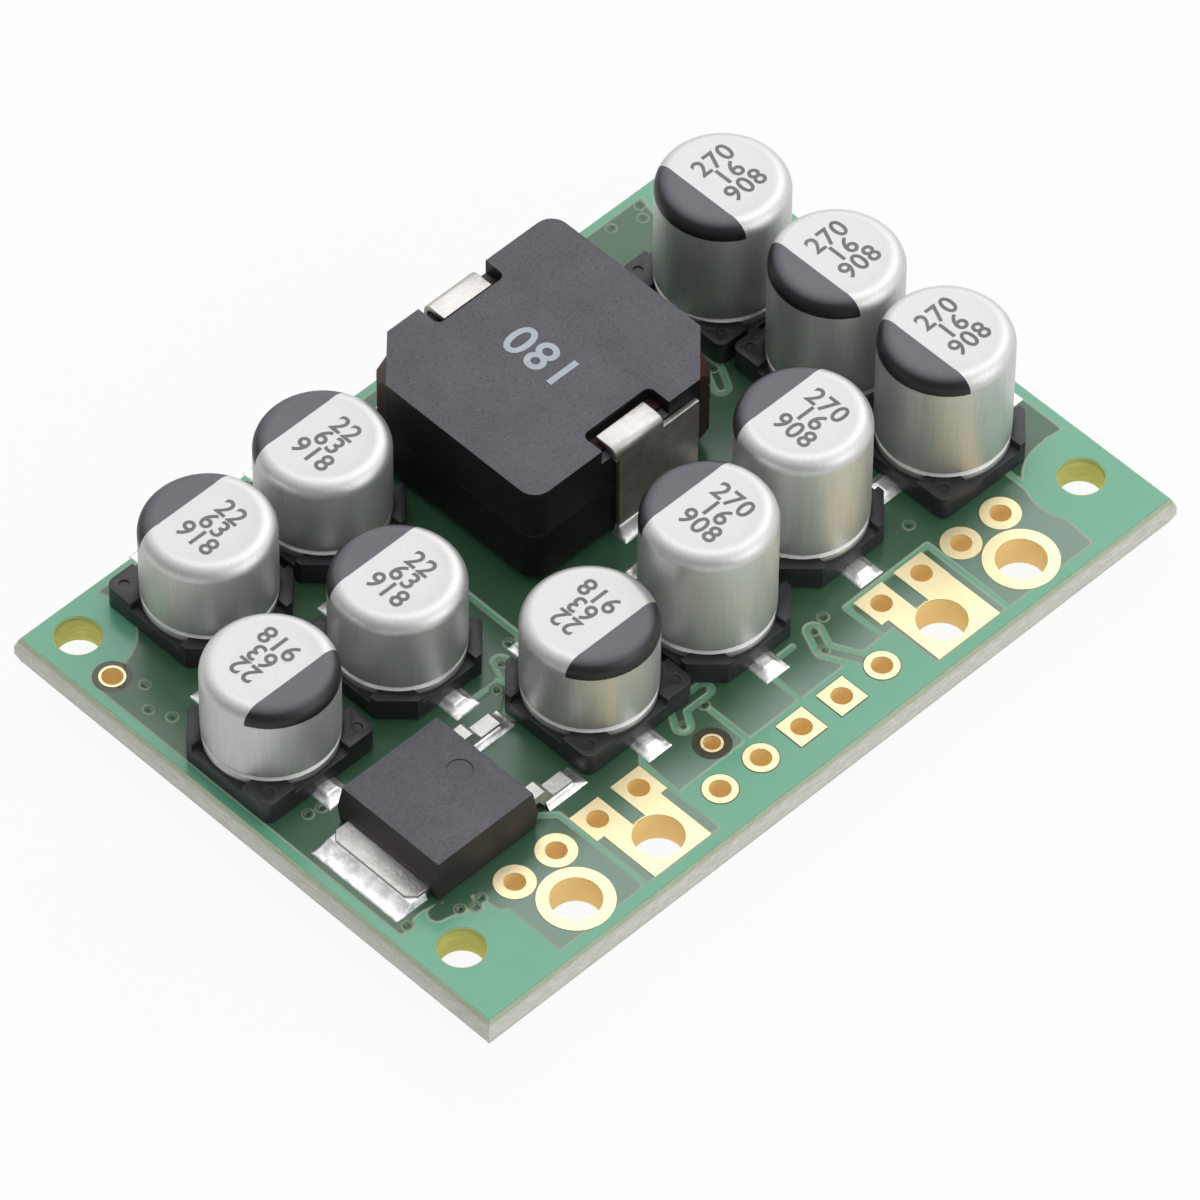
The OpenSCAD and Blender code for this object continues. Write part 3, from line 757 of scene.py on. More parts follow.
@dataclass(frozen=True)
class LaminateFinish:
    """Glass-fibre board where it is cut: rough scored edges and drilled walls.

    Attributes:
        fibre: Colour of the glass strands.
        resin: Colour of the resin between them.
        cut: Colour of the patches that the cutter left smooth.
        lower: Colour that the scored edge turns to near its foot.
        green: Colour that it turns to under the upper mask; at the top of a mounting hole's wall it is
            also painted shadow under the mask's edge.
        wall: Colour of the mounting holes' walls.
        foot: Heights where the lower colour starts and is full.
        head: Heights where the green starts and is full.
        reach: Distances from a mounting hole's axis where its wall's colour starts and is full.
        relief: Depth of the torn fibres.
        roughness: Roughness of the whole.
    """

    fibre: Colour = (0.84, 0.82, 0.75)
    resin: Colour = (0.62, 0.62, 0.54)
    cut: Colour = (0.78, 0.76, 0.70)
    lower: Colour = (0.52, 0.54, 0.50)
    green: Colour = (0.30, 0.46, 0.20)
    wall: Colour = (0.86, 0.84, 0.26)
    foot: Point = (1.75, 1.3)
    head: Point = (2.35, 2.62)
    reach: Point = (1.35, 1.2)
    relief: float = 0.08
    roughness: float = 0.72

    def _to_hole(self, recipe: Recipe, place: Socket) -> Socket:
        """Distance to the nearest mounting hole's axis: the least of the flat distances.

        Args:
            recipe: The material.
            place: The place, in millimetres.

        Returns:
            The distance's socket.
        """
        nearest = None
        for x, y in hole_places("mounting_holes"):
            offset = recipe.add("ShaderNodeVectorMath", {0: place, 1: (x, y, 0.0)}, operation="SUBTRACT")
            flat = recipe.stretched(offset.outputs[0], (1, 1, 0))
            length = recipe.add("ShaderNodeVectorMath", {0: flat}, operation="LENGTH").outputs["Value"]
            nearest = length if nearest is None else recipe.maths("MINIMUM", nearest, length)
        return nearest

    def make(self, effects: Effects) -> bpy.types.Material:
        """Builds the material from the height and the distance to the mounting holes.

        Args:
            effects: The shared node groups, of which it needs none.

        Returns:
            The material.
        """
        recipe = Recipe("laminate_edge")
        place = recipe.millimetres()
        height = recipe.axes(place)[2]
        strands = recipe.noise(recipe.stretched(place, (1.6, 1.6, 14.0)), 1.0, 5.0, 0.7)
        cloud = recipe.noise(place, 1.1, 4.0, 0.6)
        upper = recipe.step(height, *self.head)
        colour = recipe.blend(recipe.step(strands, 0.35, 0.65), self.resin, self.fibre)
        colour = recipe.blend(recipe.times(recipe.step(cloud, 0.35, 0.75), 0.35), colour, self.cut)
        colour = recipe.blend(recipe.times(upper, 0.55), colour, self.green)
        colour = recipe.blend(recipe.times(recipe.step(height, *self.foot), 0.6), colour, self.lower)
        wall = recipe.blend(recipe.step(strands, 0.3, 0.7), shade(self.wall, 0.75), self.wall)
        # The top of a mounting hole's wall turns to the mask's green, which there is also painted shadow
        # under the mask's edge.
        wall = recipe.blend(recipe.times(upper, 0.6), wall, self.green)
        in_hole = recipe.step(self._to_hole(recipe, place), *self.reach)
        colour = recipe.blend(in_hole, colour, wall)
        normal = recipe.bump(recipe.maths("ADD", strands, cloud), self.relief, 0.9)
        return recipe.surface(base_color=colour, roughness=self.roughness, normal=normal)


@dataclass(frozen=True)
class GoldFinish:
    """Thin gold on nickel: pale on the flats, deeper and brighter inside the holes with painted light.

    Attributes:
        flat: Colour of the pads.
        lit_barrel: Colour of the plated holes' walls, brightened as painted light for the light bouncing
            inside the holes.
        metallic: Share of metal on the pads; the walls have none, so their painted light shows as plain
            colour.
    """

    flat: Colour = (0.88, 0.75, 0.46)
    lit_barrel: Colour = (1.0, 0.76, 0.34)
    metallic: float = 0.85

    def make(self, effects: Effects) -> bpy.types.Material:
        """Builds the material from the height below the board's face.

        Args:
            effects: The shared node groups.

        Returns:
            The material.
        """
        recipe = Recipe("gold_plate")
        place = recipe.millimetres()
        grain, normal = effects.grain(recipe, place, 7.0, 0.012)
        inside = recipe.step(recipe.axes(place)[2], BOARD_TOP + 0.02, BOARD_TOP - 0.05)
        tone = recipe.blend(recipe.times(grain, 0.35), self.flat, shade(self.flat, 0.82))
        # The hole walls get a bright, non-metal gold: painted light for the light bouncing inside the
        # holes.
        colour = recipe.blend(inside, tone, self.lit_barrel)
        return recipe.surface(base_color=colour, metallic=recipe.between(inside, self.metallic, 0.0),
                              roughness=recipe.between(grain, 0.3, 0.5), normal=normal)


@dataclass(frozen=True)
class CanFinish:
    """Drawn aluminium with the dark segment that marks the negative side.

    Attributes:
        metal: Colour of the can's side.
        top: Colour of its top, darker than the side as painted shade against the stronger light that falls
            on it.
        segment: Colour of the print on the top, one dark ink painted lighter grey there as painted light.
        shoulder: Colour of the same print down the shoulder, near-black as painted shade.
        chord: From the can's axis to the segment's straight edge.
        wrap: How far below the top the print ends.
        top_edge: Radii where the top's colour starts and is full.
        burr: Depth of the print's edge.
    """

    metal: Colour = (0.74, 0.74, 0.725)
    top: Colour = (0.54, 0.53, 0.535)
    segment: Colour = (0.108, 0.105, 0.128)
    shoulder: Colour = (0.010, 0.010, 0.013)
    chord: float = 1.36
    wrap: float = 0.88
    top_edge: Point = (2.75, 2.35)
    burr: float = 0.02

    def _metal(self, recipe: Recipe, place: Socket, on_top: Socket, grain: Socket) -> Socket:
        """Aluminium with drawn streaks down its side and faint rings, and the top in a darker tone of
        painted shade.

        Args:
            recipe: The material.
            place: The place within the can.
            on_top: Mask of the top.
            grain: Mask of the fine grain.

        Returns:
            The colour's socket.
        """
        streaks = recipe.noise(recipe.stretched(place, (7.0, 7.0, 0.35)), 1.0, 4.0, 0.6)
        rings = recipe.noise(recipe.stretched(place, (0.5, 0.5, 6.0)), 1.0, 3.0, 0.6)
        marks = recipe.maths("MULTIPLY_ADD", recipe.less(streaks, 0.5), 0.9, 0.5)
        metal = recipe.blend(marks, shade(self.metal, 0.78), shade(self.metal, 1.10))
        metal = recipe.blend(recipe.times(rings, 0.14), metal, shade(self.metal, 0.7))
        # The top gets a darker tone than the side: painted shade against the light that falls on it from
        # above.
        shaded_top = recipe.blend(grain, shade(self.top, 0.86), shade(self.top, 1.08))
        return recipe.blend(on_top, metal, shaded_top)

    def make(self, effects: Effects) -> bpy.types.Material:
        """Builds the material on the place within the can, which the mesh carries.

        Args:
            effects: The shared node groups.

        Returns:
            The material.
        """
        recipe = Recipe("can_aluminium")
        place = recipe.attribute("can_place", "Vector")
        across, along, height = recipe.axes(place)
        squares = recipe.maths("ADD", recipe.times(across, across), recipe.times(along, along))
        flat = recipe.step(recipe.maths("SQRT", squares), *self.top_edge)
        grain, relief = effects.grain(recipe, place, 11.0, 0.010)
        on_top = recipe.times(flat, recipe.step(height, -0.5, -0.1))
        metal = self._metal(recipe, place, on_top, grain)
        side = recipe.step(along, 0.02 - self.chord, -0.02 - self.chord)
        ragged = recipe.maths("MULTIPLY_ADD", grain, 0.11, -self.wrap - 0.03)
        printed = recipe.times(side, recipe.step(recipe.less(height, ragged), -0.02, 0.02))
        dust = effects.specks(recipe, place, 5.0, 0.14, 0.25)
        ink = recipe.blend(dust, self.segment, shade(self.segment, 1.6))
        # One ink in two tones: lighter on the top as painted light, near-black down the shoulder as
        # painted shade.
        ink = recipe.blend(recipe.step(height, -0.04, -0.24), ink, self.shoulder)
        rough = recipe.between(printed, recipe.between(flat, 0.41, 0.46), 0.36)
        return recipe.surface(base_color=recipe.blend(printed, metal, ink),
                              metallic=recipe.between(printed, 0.75, 0.0), roughness=rough,
                              normal=recipe.bump(printed, self.burr, 0.8, relief))


@dataclass(frozen=True)
class PlainFinish:
    """A moulded, cast or plated surface with grain and cloud.

    Attributes:
        name: Name of the material.
        colour: Its main colour.
        second: The colour that the cloud turns to.
        metallic: Share of metal.
        roughness: Lowest roughness.
        spread: How much rougher the grain makes it.
        cells: Cells of grain for each millimetre.
        depth: Depth of the grain in millimetres.
    """

    name: str
    colour: Colour
    second: Colour
    metallic: float = 0.0
    roughness: float = 0.4
    spread: float = 0.15
    cells: float = 8.0
    depth: float = 0.01

    def make(self, effects: Effects) -> bpy.types.Material:
        """Builds the material.

        Args:
            effects: The shared node groups.

        Returns:
            The material.
        """
        recipe = Recipe(self.name)
        place = recipe.millimetres()
        grain, normal = effects.grain(recipe, place, self.cells, self.depth)
        colour = recipe.blend(effects.smudge(recipe, place, 0.8, 1.6), self.colour, self.second)
        rough = recipe.between(grain, self.roughness, self.roughness + self.spread)
        return recipe.surface(base_color=colour, metallic=self.metallic, roughness=rough, normal=normal)


@dataclass(frozen=True)
class PressedFinish:
    """A pressed or moulded body: matt specked faces up and down, and smoother sides painted darker as
    painted shade.

    Attributes:
        name: Name of the material.
        top: Colour of the flat faces.
        side: Colour of the sides, darkened as painted shade of faces turned away from the lamps.
        second: Colour that patches of the sides turn to; on the transistor's moulding a brown painted
            reflection.
        pale: Colour of the pale specks.
        dark: Colour of the dark specks.
        cells: Cells of specks for each millimetre.
        pale_share: Strength of the pale specks.
        dark_share: Strength of the dark specks.
        roughness: Roughness of the sides.
        depth: Depth of the grain in millimetres.
    """

    name: str
    top: Colour
    side: Colour
    second: Colour
    pale: Colour = (0.22, 0.21, 0.24)
    dark: Colour = (0.025, 0.024, 0.028)
    cells: float = 4.6
    pale_share: float = 0.45
    dark_share: float = 0.5
    roughness: float = 0.42
    depth: float = 0.03

    def make(self, effects: Effects) -> bpy.types.Material:
        """Builds the material from the way that each face looks.

        Args:
            effects: The shared node groups.

        Returns:
            The material.
        """
        recipe = Recipe(self.name)
        place = recipe.millimetres()
        flat = recipe.step(recipe.maths("ABSOLUTE", recipe.facing()), 0.55, 0.92)
        cloud = effects.smudge(recipe, place, 0.5, 1.2)
        pale = effects.specks(recipe, place, self.cells, 0.2, 0.3)
        dark = effects.specks(recipe, place, self.cells * 1.35, 0.27, 0.32)
        salt = recipe.less(recipe.noise(place, 6.0, 2.0, 0.7), 0.5)
        mottle = recipe.maths("MULTIPLY_ADD", salt, 1.6, cloud)
        top = recipe.blend(mottle, shade(self.top, 0.80), shade(self.top, 1.20))
        top = recipe.blend(recipe.times(dark, self.dark_share), top, self.dark)
        top = recipe.blend(recipe.times(pale, self.pale_share), top, self.pale)
        # The sides are painted much darker than the flat faces as painted shade; on the moulding compound
        # their brown patches are a painted reflection.
        side = recipe.blend(cloud, self.side, self.second)
        return recipe.surface(base_color=recipe.blend(flat, side, top),
                              roughness=recipe.between(flat, self.roughness, 0.6),
                              normal=effects.grain(recipe, place, 9.0, self.depth)[1],
                              specular_ior_level=0.28)


@dataclass(frozen=True)
class StripFinish:
    """Tinned strip: painted light where it is folded over the top and faces up, painted shade and an olive
    painted reflection down its plate.

    Attributes:
        lit_fold: Colour of the fold, lighter as painted light where it faces up.
        shaded_plate: Colour of the plate, darker olive-grey as painted shade and painted reflection.
        stain: Colour that patches of the plate turn to.
        metallic: Share of metal.
    """

    lit_fold: Colour = (0.58, 0.565, 0.54)
    shaded_plate: Colour = (0.33, 0.315, 0.275)
    stain: Colour = (0.50, 0.475, 0.41)
    metallic: float = 0.9

    def make(self, effects: Effects) -> bpy.types.Material:
        """Builds the material from the way that each face looks.

        Args:
            effects: The shared node groups.

        Returns:
            The material.
        """
        recipe = Recipe("tinned_strip")
        place = recipe.millimetres()
        grain, normal = effects.grain(recipe, place, 4.0, 0.02)
        shaded_plate = recipe.blend(effects.smudge(recipe, place, 1.1, 2.2), self.shaded_plate, self.stain)
        lit_fold = recipe.blend(recipe.times(grain, 0.5), self.lit_fold, shade(self.lit_fold, 0.7))
        # The tin is painted lighter where it faces up and darker olive-grey down the plate: painted light,
        # shade and reflection on one metal.
        colour = recipe.blend(recipe.step(recipe.facing(), 0.25, 0.8), shaded_plate, lit_fold)
        return recipe.surface(base_color=colour, metallic=self.metallic,
                              roughness=recipe.between(grain, 0.32, 0.54), normal=normal)


@dataclass(frozen=True)
class SolderFinish:
    """Frozen solder: bright, with soft waves and dull patches.

    Attributes:
        bright: Colour of the clean solder.
        dull: Colour of the patches.
        metallic: Share of metal.
        waves: Depth of the soft waves.
        grain: Depth of the fine grain.
    """

    bright: Colour = (0.94, 0.94, 0.93)
    dull: Colour = (0.68, 0.68, 0.69)
    metallic: float = 0.85
    waves: float = 0.06
    grain: float = 0.008

    def make(self, effects: Effects) -> bpy.types.Material:
        """Builds the material.

        Args:
            effects: The shared node groups, of which it needs none.

        Returns:
            The material.
        """
        recipe = Recipe("solder")
        place = recipe.millimetres()
        waves = recipe.noise(place, 1.7, 3.0, 0.6)
        fine = recipe.noise(place, 7.0, 3.0, 0.6)
        colour = recipe.blend(recipe.step(waves, 0.4, 0.65), self.bright, self.dull)
        normal = recipe.bump(fine, self.grain, 0.5, recipe.bump(waves, self.waves, 0.6))
        return recipe.surface(base_color=colour, metallic=self.metallic,
                              roughness=recipe.between(fine, 0.26, 0.5), normal=normal)


class Finishes:
    """Every material of the part, built once."""

    def __init__(self) -> None:
        """Builds the shared node groups and the materials."""
        fx = Effects()
        self.mask = MaskFinish().make(fx)
        self.laminate = LaminateFinish().make(fx)
        self.gold = GoldFinish().make(fx)
        self.can = CanFinish().make(fx)
        self.base = PlainFinish(
            "base_plastic", (0.016, 0.016, 0.020), (0.028, 0.028, 0.034),
            roughness=0.34, spread=0.2, cells=6.0, depth=0.012).make(fx)
        self.tin = PlainFinish(
            "tinned_lead", (0.74, 0.73, 0.70), (0.56, 0.54, 0.50),
            metallic=1.0, roughness=0.25, spread=0.25, cells=5.0, depth=0.015).make(fx)
        self.strip = StripFinish().make(fx)
        self.solder = SolderFinish().make(fx)
        self.core = PressedFinish(
            "pressed_core", (0.118, 0.117, 0.134), (0.003, 0.003, 0.004), (0.008, 0.008, 0.010)).make(fx)
        self.wire = PlainFinish(
            "enamelled_wire", (0.030, 0.010, 0.007), (0.075, 0.024, 0.014),
            roughness=0.28, cells=3.0).make(fx)
        # Its brown second colour is a painted reflection on the sides.
        self.package = PressedFinish(
            "moulding_compound", (0.118, 0.117, 0.132), (0.020, 0.022, 0.029), (0.050, 0.036, 0.026),
            pale=(0.17, 0.15, 0.14), dark=(0.045, 0.036, 0.032), cells=5.2, pale_share=0.35,
            dark_share=0.6, depth=0.02).make(fx)
        self.sink = PlainFinish(
            "tinned_copper", (0.66, 0.65, 0.63), (0.46, 0.45, 0.43),
            metallic=1.0, roughness=0.32, spread=0.26, cells=5.0, depth=0.03).make(fx)
        self.ceramic = PlainFinish(
            "fired_ceramic", (0.36, 0.24, 0.15), (0.42, 0.30, 0.20), cells=7.0).make(fx)
        self.film = PlainFinish(
            "chip_film", (0.02, 0.02, 0.024), (0.03, 0.03, 0.034), roughness=0.3, cells=7.0).make(fx)
        self.can_ink = PlainFinish(
            "can_ink", (0.130, 0.125, 0.135), (0.20, 0.195, 0.205), roughness=0.45, cells=12.0).make(fx)
        self.core_ink = PlainFinish(
            "core_ink", (0.56, 0.61, 0.68), (0.38, 0.43, 0.50), roughness=0.5, cells=12.0).make(fx)


# ---------------------------------------------------------------- printed board


class Region:
    """Signed distances of flat shapes over an array of points, positive inside."""

    def __init__(self, points: np.ndarray) -> None:
        """Keeps the points: one row of X and Y for each."""
        self.points = points

    def disc(self, x: float, y: float, radius: float) -> np.ndarray:
        """Radius less the distance to the middle."""
        return radius - np.hypot(self.points[:, 0] - x, self.points[:, 1] - y)

    def rectangle(self, left: float, right: float, front: float, back: float) -> np.ndarray:
        """Distance to the nearest side, or to the nearest corner outside.

        Args:
            left: Lowest X.
            right: Highest X.
            front: Lowest Y.
            back: Highest Y.

        Returns:
            One number for each point.
        """
        dx = np.abs(self.points[:, 0] - (left + right) / 2) - (right - left) / 2
        dy = np.abs(self.points[:, 1] - (front + back) / 2) - (back - front) / 2
        outside = np.hypot(np.maximum(dx, 0), np.maximum(dy, 0))
        return -(outside + np.minimum(np.maximum(dx, dy), 0))

    def stroke(self, path: Path, width: float) -> np.ndarray:
        """Half the width less the distance to the nearest stretch of the path.

        Args:
            path: Corners of the path.
            width: Width of the stroke.

        Returns:
            One number for each point.
        """
        corners = np.asarray(path, float)
        start, end = corners[:-1, None, :], corners[1:, None, :]
        run = end - start
        share = ((self.points[None] - start) * run).sum(-1) / (run ** 2).sum(-1)
        nearest = start + np.clip(share, 0, 1)[..., None] * run
        return width / 2 - np.linalg.norm(self.points[None] - nearest, axis=-1).min(axis=0)

    def polygon(self, corners: Path) -> np.ndarray:
        """Distance to the outline, with its sign from the number of sides crossed.

        Args:
            corners: Corners of the outline.

        Returns:
            One number for each point.
        """
        closed = (*corners, corners[0])
        edge = -self.stroke(closed, 0.0)
        ring = np.asarray(closed, float)
        x, y = self.points[:, 0][None], self.points[:, 1][None]
        x0, y0, x1, y1 = (v[:, None] for v in (ring[:-1, 0], ring[:-1, 1], ring[1:, 0], ring[1:, 1]))
        spans = (y0 > y) != (y1 > y)
        crossing = x0 + (y - y0) * (x1 - x0) / np.where(y1 == y0, 1e-9, y1 - y0)
        inside = (spans & (x < crossing)).sum(axis=0) % 2 == 1
        return np.where(inside, edge, -edge)


@dataclass
class PrintedBoard:
    """The board's laminate, its plated pads and the solder mask on both faces.

    Attributes:
        finishes: The part's materials.
        cell: Side of a cell of the mask's grid.
        snap: Share of a cell that a point may lie off a clear ring and be moved onto it.
        lift: How far the mask stands above the laminate.
        edge: From the board's end to the mask's edge.
        far: Greatest distance that the mask's points carry.
        keep_out: Radius without copper round a mounting hole.
        clear: Radius without mask round a mounting hole.
        small_hole: Radius cut out of the mask at a hole for a pin.
        wire_hole: Radius cut out of the mask at a hole for a wire.
        probe: Place of the probe's hole, and the radius cut out of the mask there.
        tooling: The same for the tooling hole.
        bared: Radius of the mask's opening round those two.
        pad_opening: Radius of the mask's opening round a round header pad.
        square_opening: Half the side of the opening round a square header pad.
        pour: Left, right, front and back ends of the copper.
        bare_strip: The same ends of the strip without copper round the header.
        bare_corners: Outlines of the areas without copper at the front corners.
        patch: Path of the copper patch near the left front corner.
        patch_width: Its width.
        vias: Places of the vias.
        via_land: Radius of the copper round a via.
        tracks: Paths of the tracks on the top face.
        track_width: Width of a track.
        track_clear: Width without other copper along a track.
        gaps: Paths of the gaps in the copper of the top face.
        gap_width: Width of those gaps.
        under_gaps: Paths of the gaps in the copper of the bottom face.
        under_gap_width: Width of those gaps.
    """

    finishes: Finishes
    cell: float = 0.16
    snap: float = 0.71
    lift: float = 0.02
    edge: float = 0.24
    far: float = 2.0
    keep_out: float = 2.65
    clear: float = 1.14
    small_hole: float = 0.6
    wire_hole: float = 1.35
    probe: tuple[float, float, float] = (-3.5, -10.73, 0.46)
    tooling: tuple[float, float, float] = (-19.94, 10.54, 0.56)
    bared: float = 0.92
    pad_opening: float = 0.87
    square_opening: float = 0.88
    pour: tuple[float, float, float, float] = (-20.85, 20.85, -14.38, 14.6)
    bare_strip: tuple[float, float, float, float] = (-6.45, 7.0, -16, -11.65)
    bare_corners: tuple[Path, ...] = (
        ((-25, -20), (-16.42, -20), (-16.42, -11.2), (-16.75, -10.95), (-16.95, -9.6), (-18.4, -9.0),
         (-25, -9.0)),
        ((16.5, -20), (25, -20), (25, -9.3), (19.9, -8.6), (18.3, -8.9), (17.35, -9.9)))
    patch: Path = ((-18.9, -9.2), (-17.6, -9.5))
    patch_width: float = 0.9
    vias: Path = (
        (4.33, -9.29), (3.86, -10.4), (-3.74, -9.15), (-5.92, -0.34), (-7.0, -0.9), (16.67, 14.3),
        (16.22, 13.64), (14.72, 14.2), (-20.07, 8.04), (-17.4, -10.1), (-18.0, -9.7), (-16.9, -9.9),
        (-19.1, -1.2), (-18.4, -1.35), (-19.6, 7.0), (-19.2, 9.2), (-20.3, -8.75), (-8.2, -1.9),
        (-7.6, -2.6), (11.9, 6.2), (12.1, 4.9), (11.8, -7.9), (-2.2, -8.9), (5.2, -9.0))
    via_land: float = 0.32
    tracks: tuple[Path, ...] = (
        ((5.08, -12.83), (3.86, -10.4), (4.33, -9.29)),
        ((-3.74, -9.15), (-3.2, -8.3), (-1.6, -8.3)),
        ((-7.0, -0.9), (-7.6, -2.6), (-8.6, -3.3)),
        ((11.9, 6.2), (12.1, 4.9), (11.5, 3.8)))
    track_width: float = 0.42
    track_clear: float = 1.0
    gaps: tuple[Path, ...] = (
        ((-11.2, -14.6), (-11.2, -8.9), (-12.4, -7.9)),
        ((-6.45, -14.4), (-6.6, -11.65), (-6.5, -9.4), (-5.9, -8.8), (-5.0, -8.6)),
        ((-2.2, -8.6), (-2.2, -11.65)),
        ((6.3, -11.7), (6.3, -9.35), (11.55, -9.3), (11.55, -14.4)),
        ((1.1, -11.65), (1.1, -9.3), (3.0, -9.3)),
        ((17.2, -10.1), (17.2, -6.0), (18.6, -4.4)),
        ((-20.0, 9.9), (-17.6, 12.4)),
        ((-9.2, -1.6), (-6.4, -1.6), (-5.3, -0.3), (-5.3, 3.2)),
        ((-14.2, 7.6), (-14.2, 6.6), (-11.9, 6.6)),
        ((12.3, 14.4), (12.3, 11.4), (10.9, 10.4)))
    gap_width: float = 0.3
    under_gaps: tuple[Path, ...] = (
        ((-11.3, -14.6), (-11.3, -3.6), (-11.3, 12.8), (4.8, 12.8), (4.8, -3.2), (-11.3, -3.6)),
        ((11.2, -14.6), (11.2, -3.2), (4.8, -3.2)),
        ((-3.3, 12.8), (-3.3, -3.4)),
        ((-6.5, -14.6), (-6.5, -8.0), (6.5, -8.0), (6.5, -14.6)),
        ((-18.9, -3.0), (-18.9, 6.4), (-11.3, 6.4)))
    under_gap_width: float = 0.35

    def _pour(self, area: Region, gaps: tuple[Path, ...], width: float) -> np.ndarray:
        """Distance into a pour of copper: the least of the ways to its ends, holes and gaps.

        Args:
            area: The grid's points.
            gaps: Paths of the gaps in the pour.
            width: Their width.

        Returns:
            One number for each point.
        """
        copper = area.rectangle(*self.pour)
        for x, y in hole_places("mounting_holes"):
            copper = np.minimum(copper, -area.disc(x, y, self.keep_out))
        for path in gaps:
            copper = np.minimum(copper, -area.stroke(path, width))
        return copper

    def _top_copper(self, area: Region) -> np.ndarray:
        """Distance into the copper of the top face: the pour, with bare areas, vias and tracks.

        Args:
            area: The grid's points.

        Returns:
            One number for each point.
        """
        copper = self._pour(area, self.gaps, self.gap_width)
        copper = np.minimum(copper, -area.rectangle(*self.bare_strip))
        for corners in self.bare_corners:
            copper = np.minimum(copper, -area.polygon(corners))
        for x, y in self.vias:
            copper = np.maximum(copper, area.disc(x, y, self.via_land))
        for path in self.tracks:
            copper = np.minimum(copper, -area.stroke(path, self.track_clear))
            copper = np.maximum(copper, area.stroke(path, self.track_width))
        return np.maximum(copper, area.stroke(self.patch, self.patch_width))

    def _openings(self, area: Region) -> np.ndarray:
        """Distance into the mask's openings, which are a little larger than the pads.

        Args:
            area: The grid's points.

        Returns:
            One number for each point.
        """
        half = self.square_opening
        opening = np.maximum(area.disc(*self.probe[:2], self.bared),
                             area.disc(*self.tooling[:2], self.bared))
        for x, y in hole_places("header_outer_holes", "header_inner_holes"):
            opening = np.maximum(opening, area.disc(x, y, self.pad_opening))
        for x, y in hole_places("header_middle_holes"):
            opening = np.maximum(opening, area.rectangle(x - half, x + half, y - half, y + half))
        return opening

    def _grid(self) -> tuple[np.ndarray, np.ndarray]:
        """Flat grid of the mask, with the board's holes cut out of it.

        The points nearest to a mounting hole's clear ring are moved along the radius
        onto the ring, and the cells whose middle lies in a hole are left out.

        Returns:
            The points' X and Y, and the faces.
        """
        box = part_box("circuit_board")
        half_l, half_w = box[1].x / MM - self.edge, box[1].y / MM - self.edge
        across = np.linspace(-half_l, half_l, int(2 * half_l / self.cell) + 1)
        along = np.linspace(-half_w, half_w, int(2 * half_w / self.cell) + 1)
        grid_x, grid_y = np.meshgrid(across, along)
        flat = np.stack([grid_x.ravel(), grid_y.ravel()], axis=1)
        faces = grid_faces(len(along), len(across))
        middle = flat[faces].mean(axis=1)
        mounting = hole_places("mounting_holes")
        for place in mounting:
            away = flat - place
            distance = np.hypot(away[:, 0], away[:, 1])
            near = np.abs(distance - self.clear) < self.cell * self.snap
            flat[near] = place + away[near] * (self.clear / distance[near])[:, None]
        wires = hole_places("input_wire_holes", "output_wire_holes")
        pins = hole_places("header_outer_holes", "header_inner_holes", "header_middle_holes",
                           "input_outer_pin_holes", "input_inner_pin_holes",
                           "output_outer_pin_holes", "output_inner_pin_holes")
        drilled = np.zeros(len(faces), bool)
        for x, y, radius in ([(*place, self.clear) for place in mounting]
                             + [(*place, self.wire_hole) for place in wires]
                             + [(*place, self.small_hole) for place in pins]
                             + [self.probe, self.tooling]):
            drilled |= np.hypot(middle[:, 0] - x, middle[:, 1] - y) < radius
        return flat, faces[~drilled]

    def _mask(self, side: Side) -> None:
        """Lays the solder mask over one face: a grid of points, each with its distances.

        Args:
            side: The face.
        """
        flat, faces = self._grid()
        area = Region(flat)
        lower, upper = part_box("circuit_board")
        if side is Side.TOP:
            face, copper = upper, self._top_copper(area)
        else:
            face, copper = lower, self._pour(area, self.under_gaps, self.under_gap_width)
            faces = faces[:, ::-1]
        to_via = np.min([np.hypot(*(flat - place).T) for place in self.vias], axis=0)
        level = face.z / MM + side.value * self.lift
        name = f"mask_{side.name.lower()}"
        mesh = make_mesh(name, np.column_stack([flat, np.full(len(flat), level)]), [faces], fields={
            "copper": np.clip(copper, -self.far, self.far), "via": np.clip(to_via, 0, self.far),
            "opening": np.clip(self._openings(area), -self.far, self.far)})
        new_piece(name, mesh, self.finishes.mask)

    def build(self) -> None:
        """Dresses the laminate and the pads and lays both sheets of mask."""
        dress("circuit_board", self.finishes.laminate)
        for node in ("ground_pads", "input_pad", "output_pad", "header_pads", "probe_pads"):
            dress(node, self.finishes.gold)
        for side in Side:
            self._mask(side)


# ---------------------------------------------------------------- capacitors


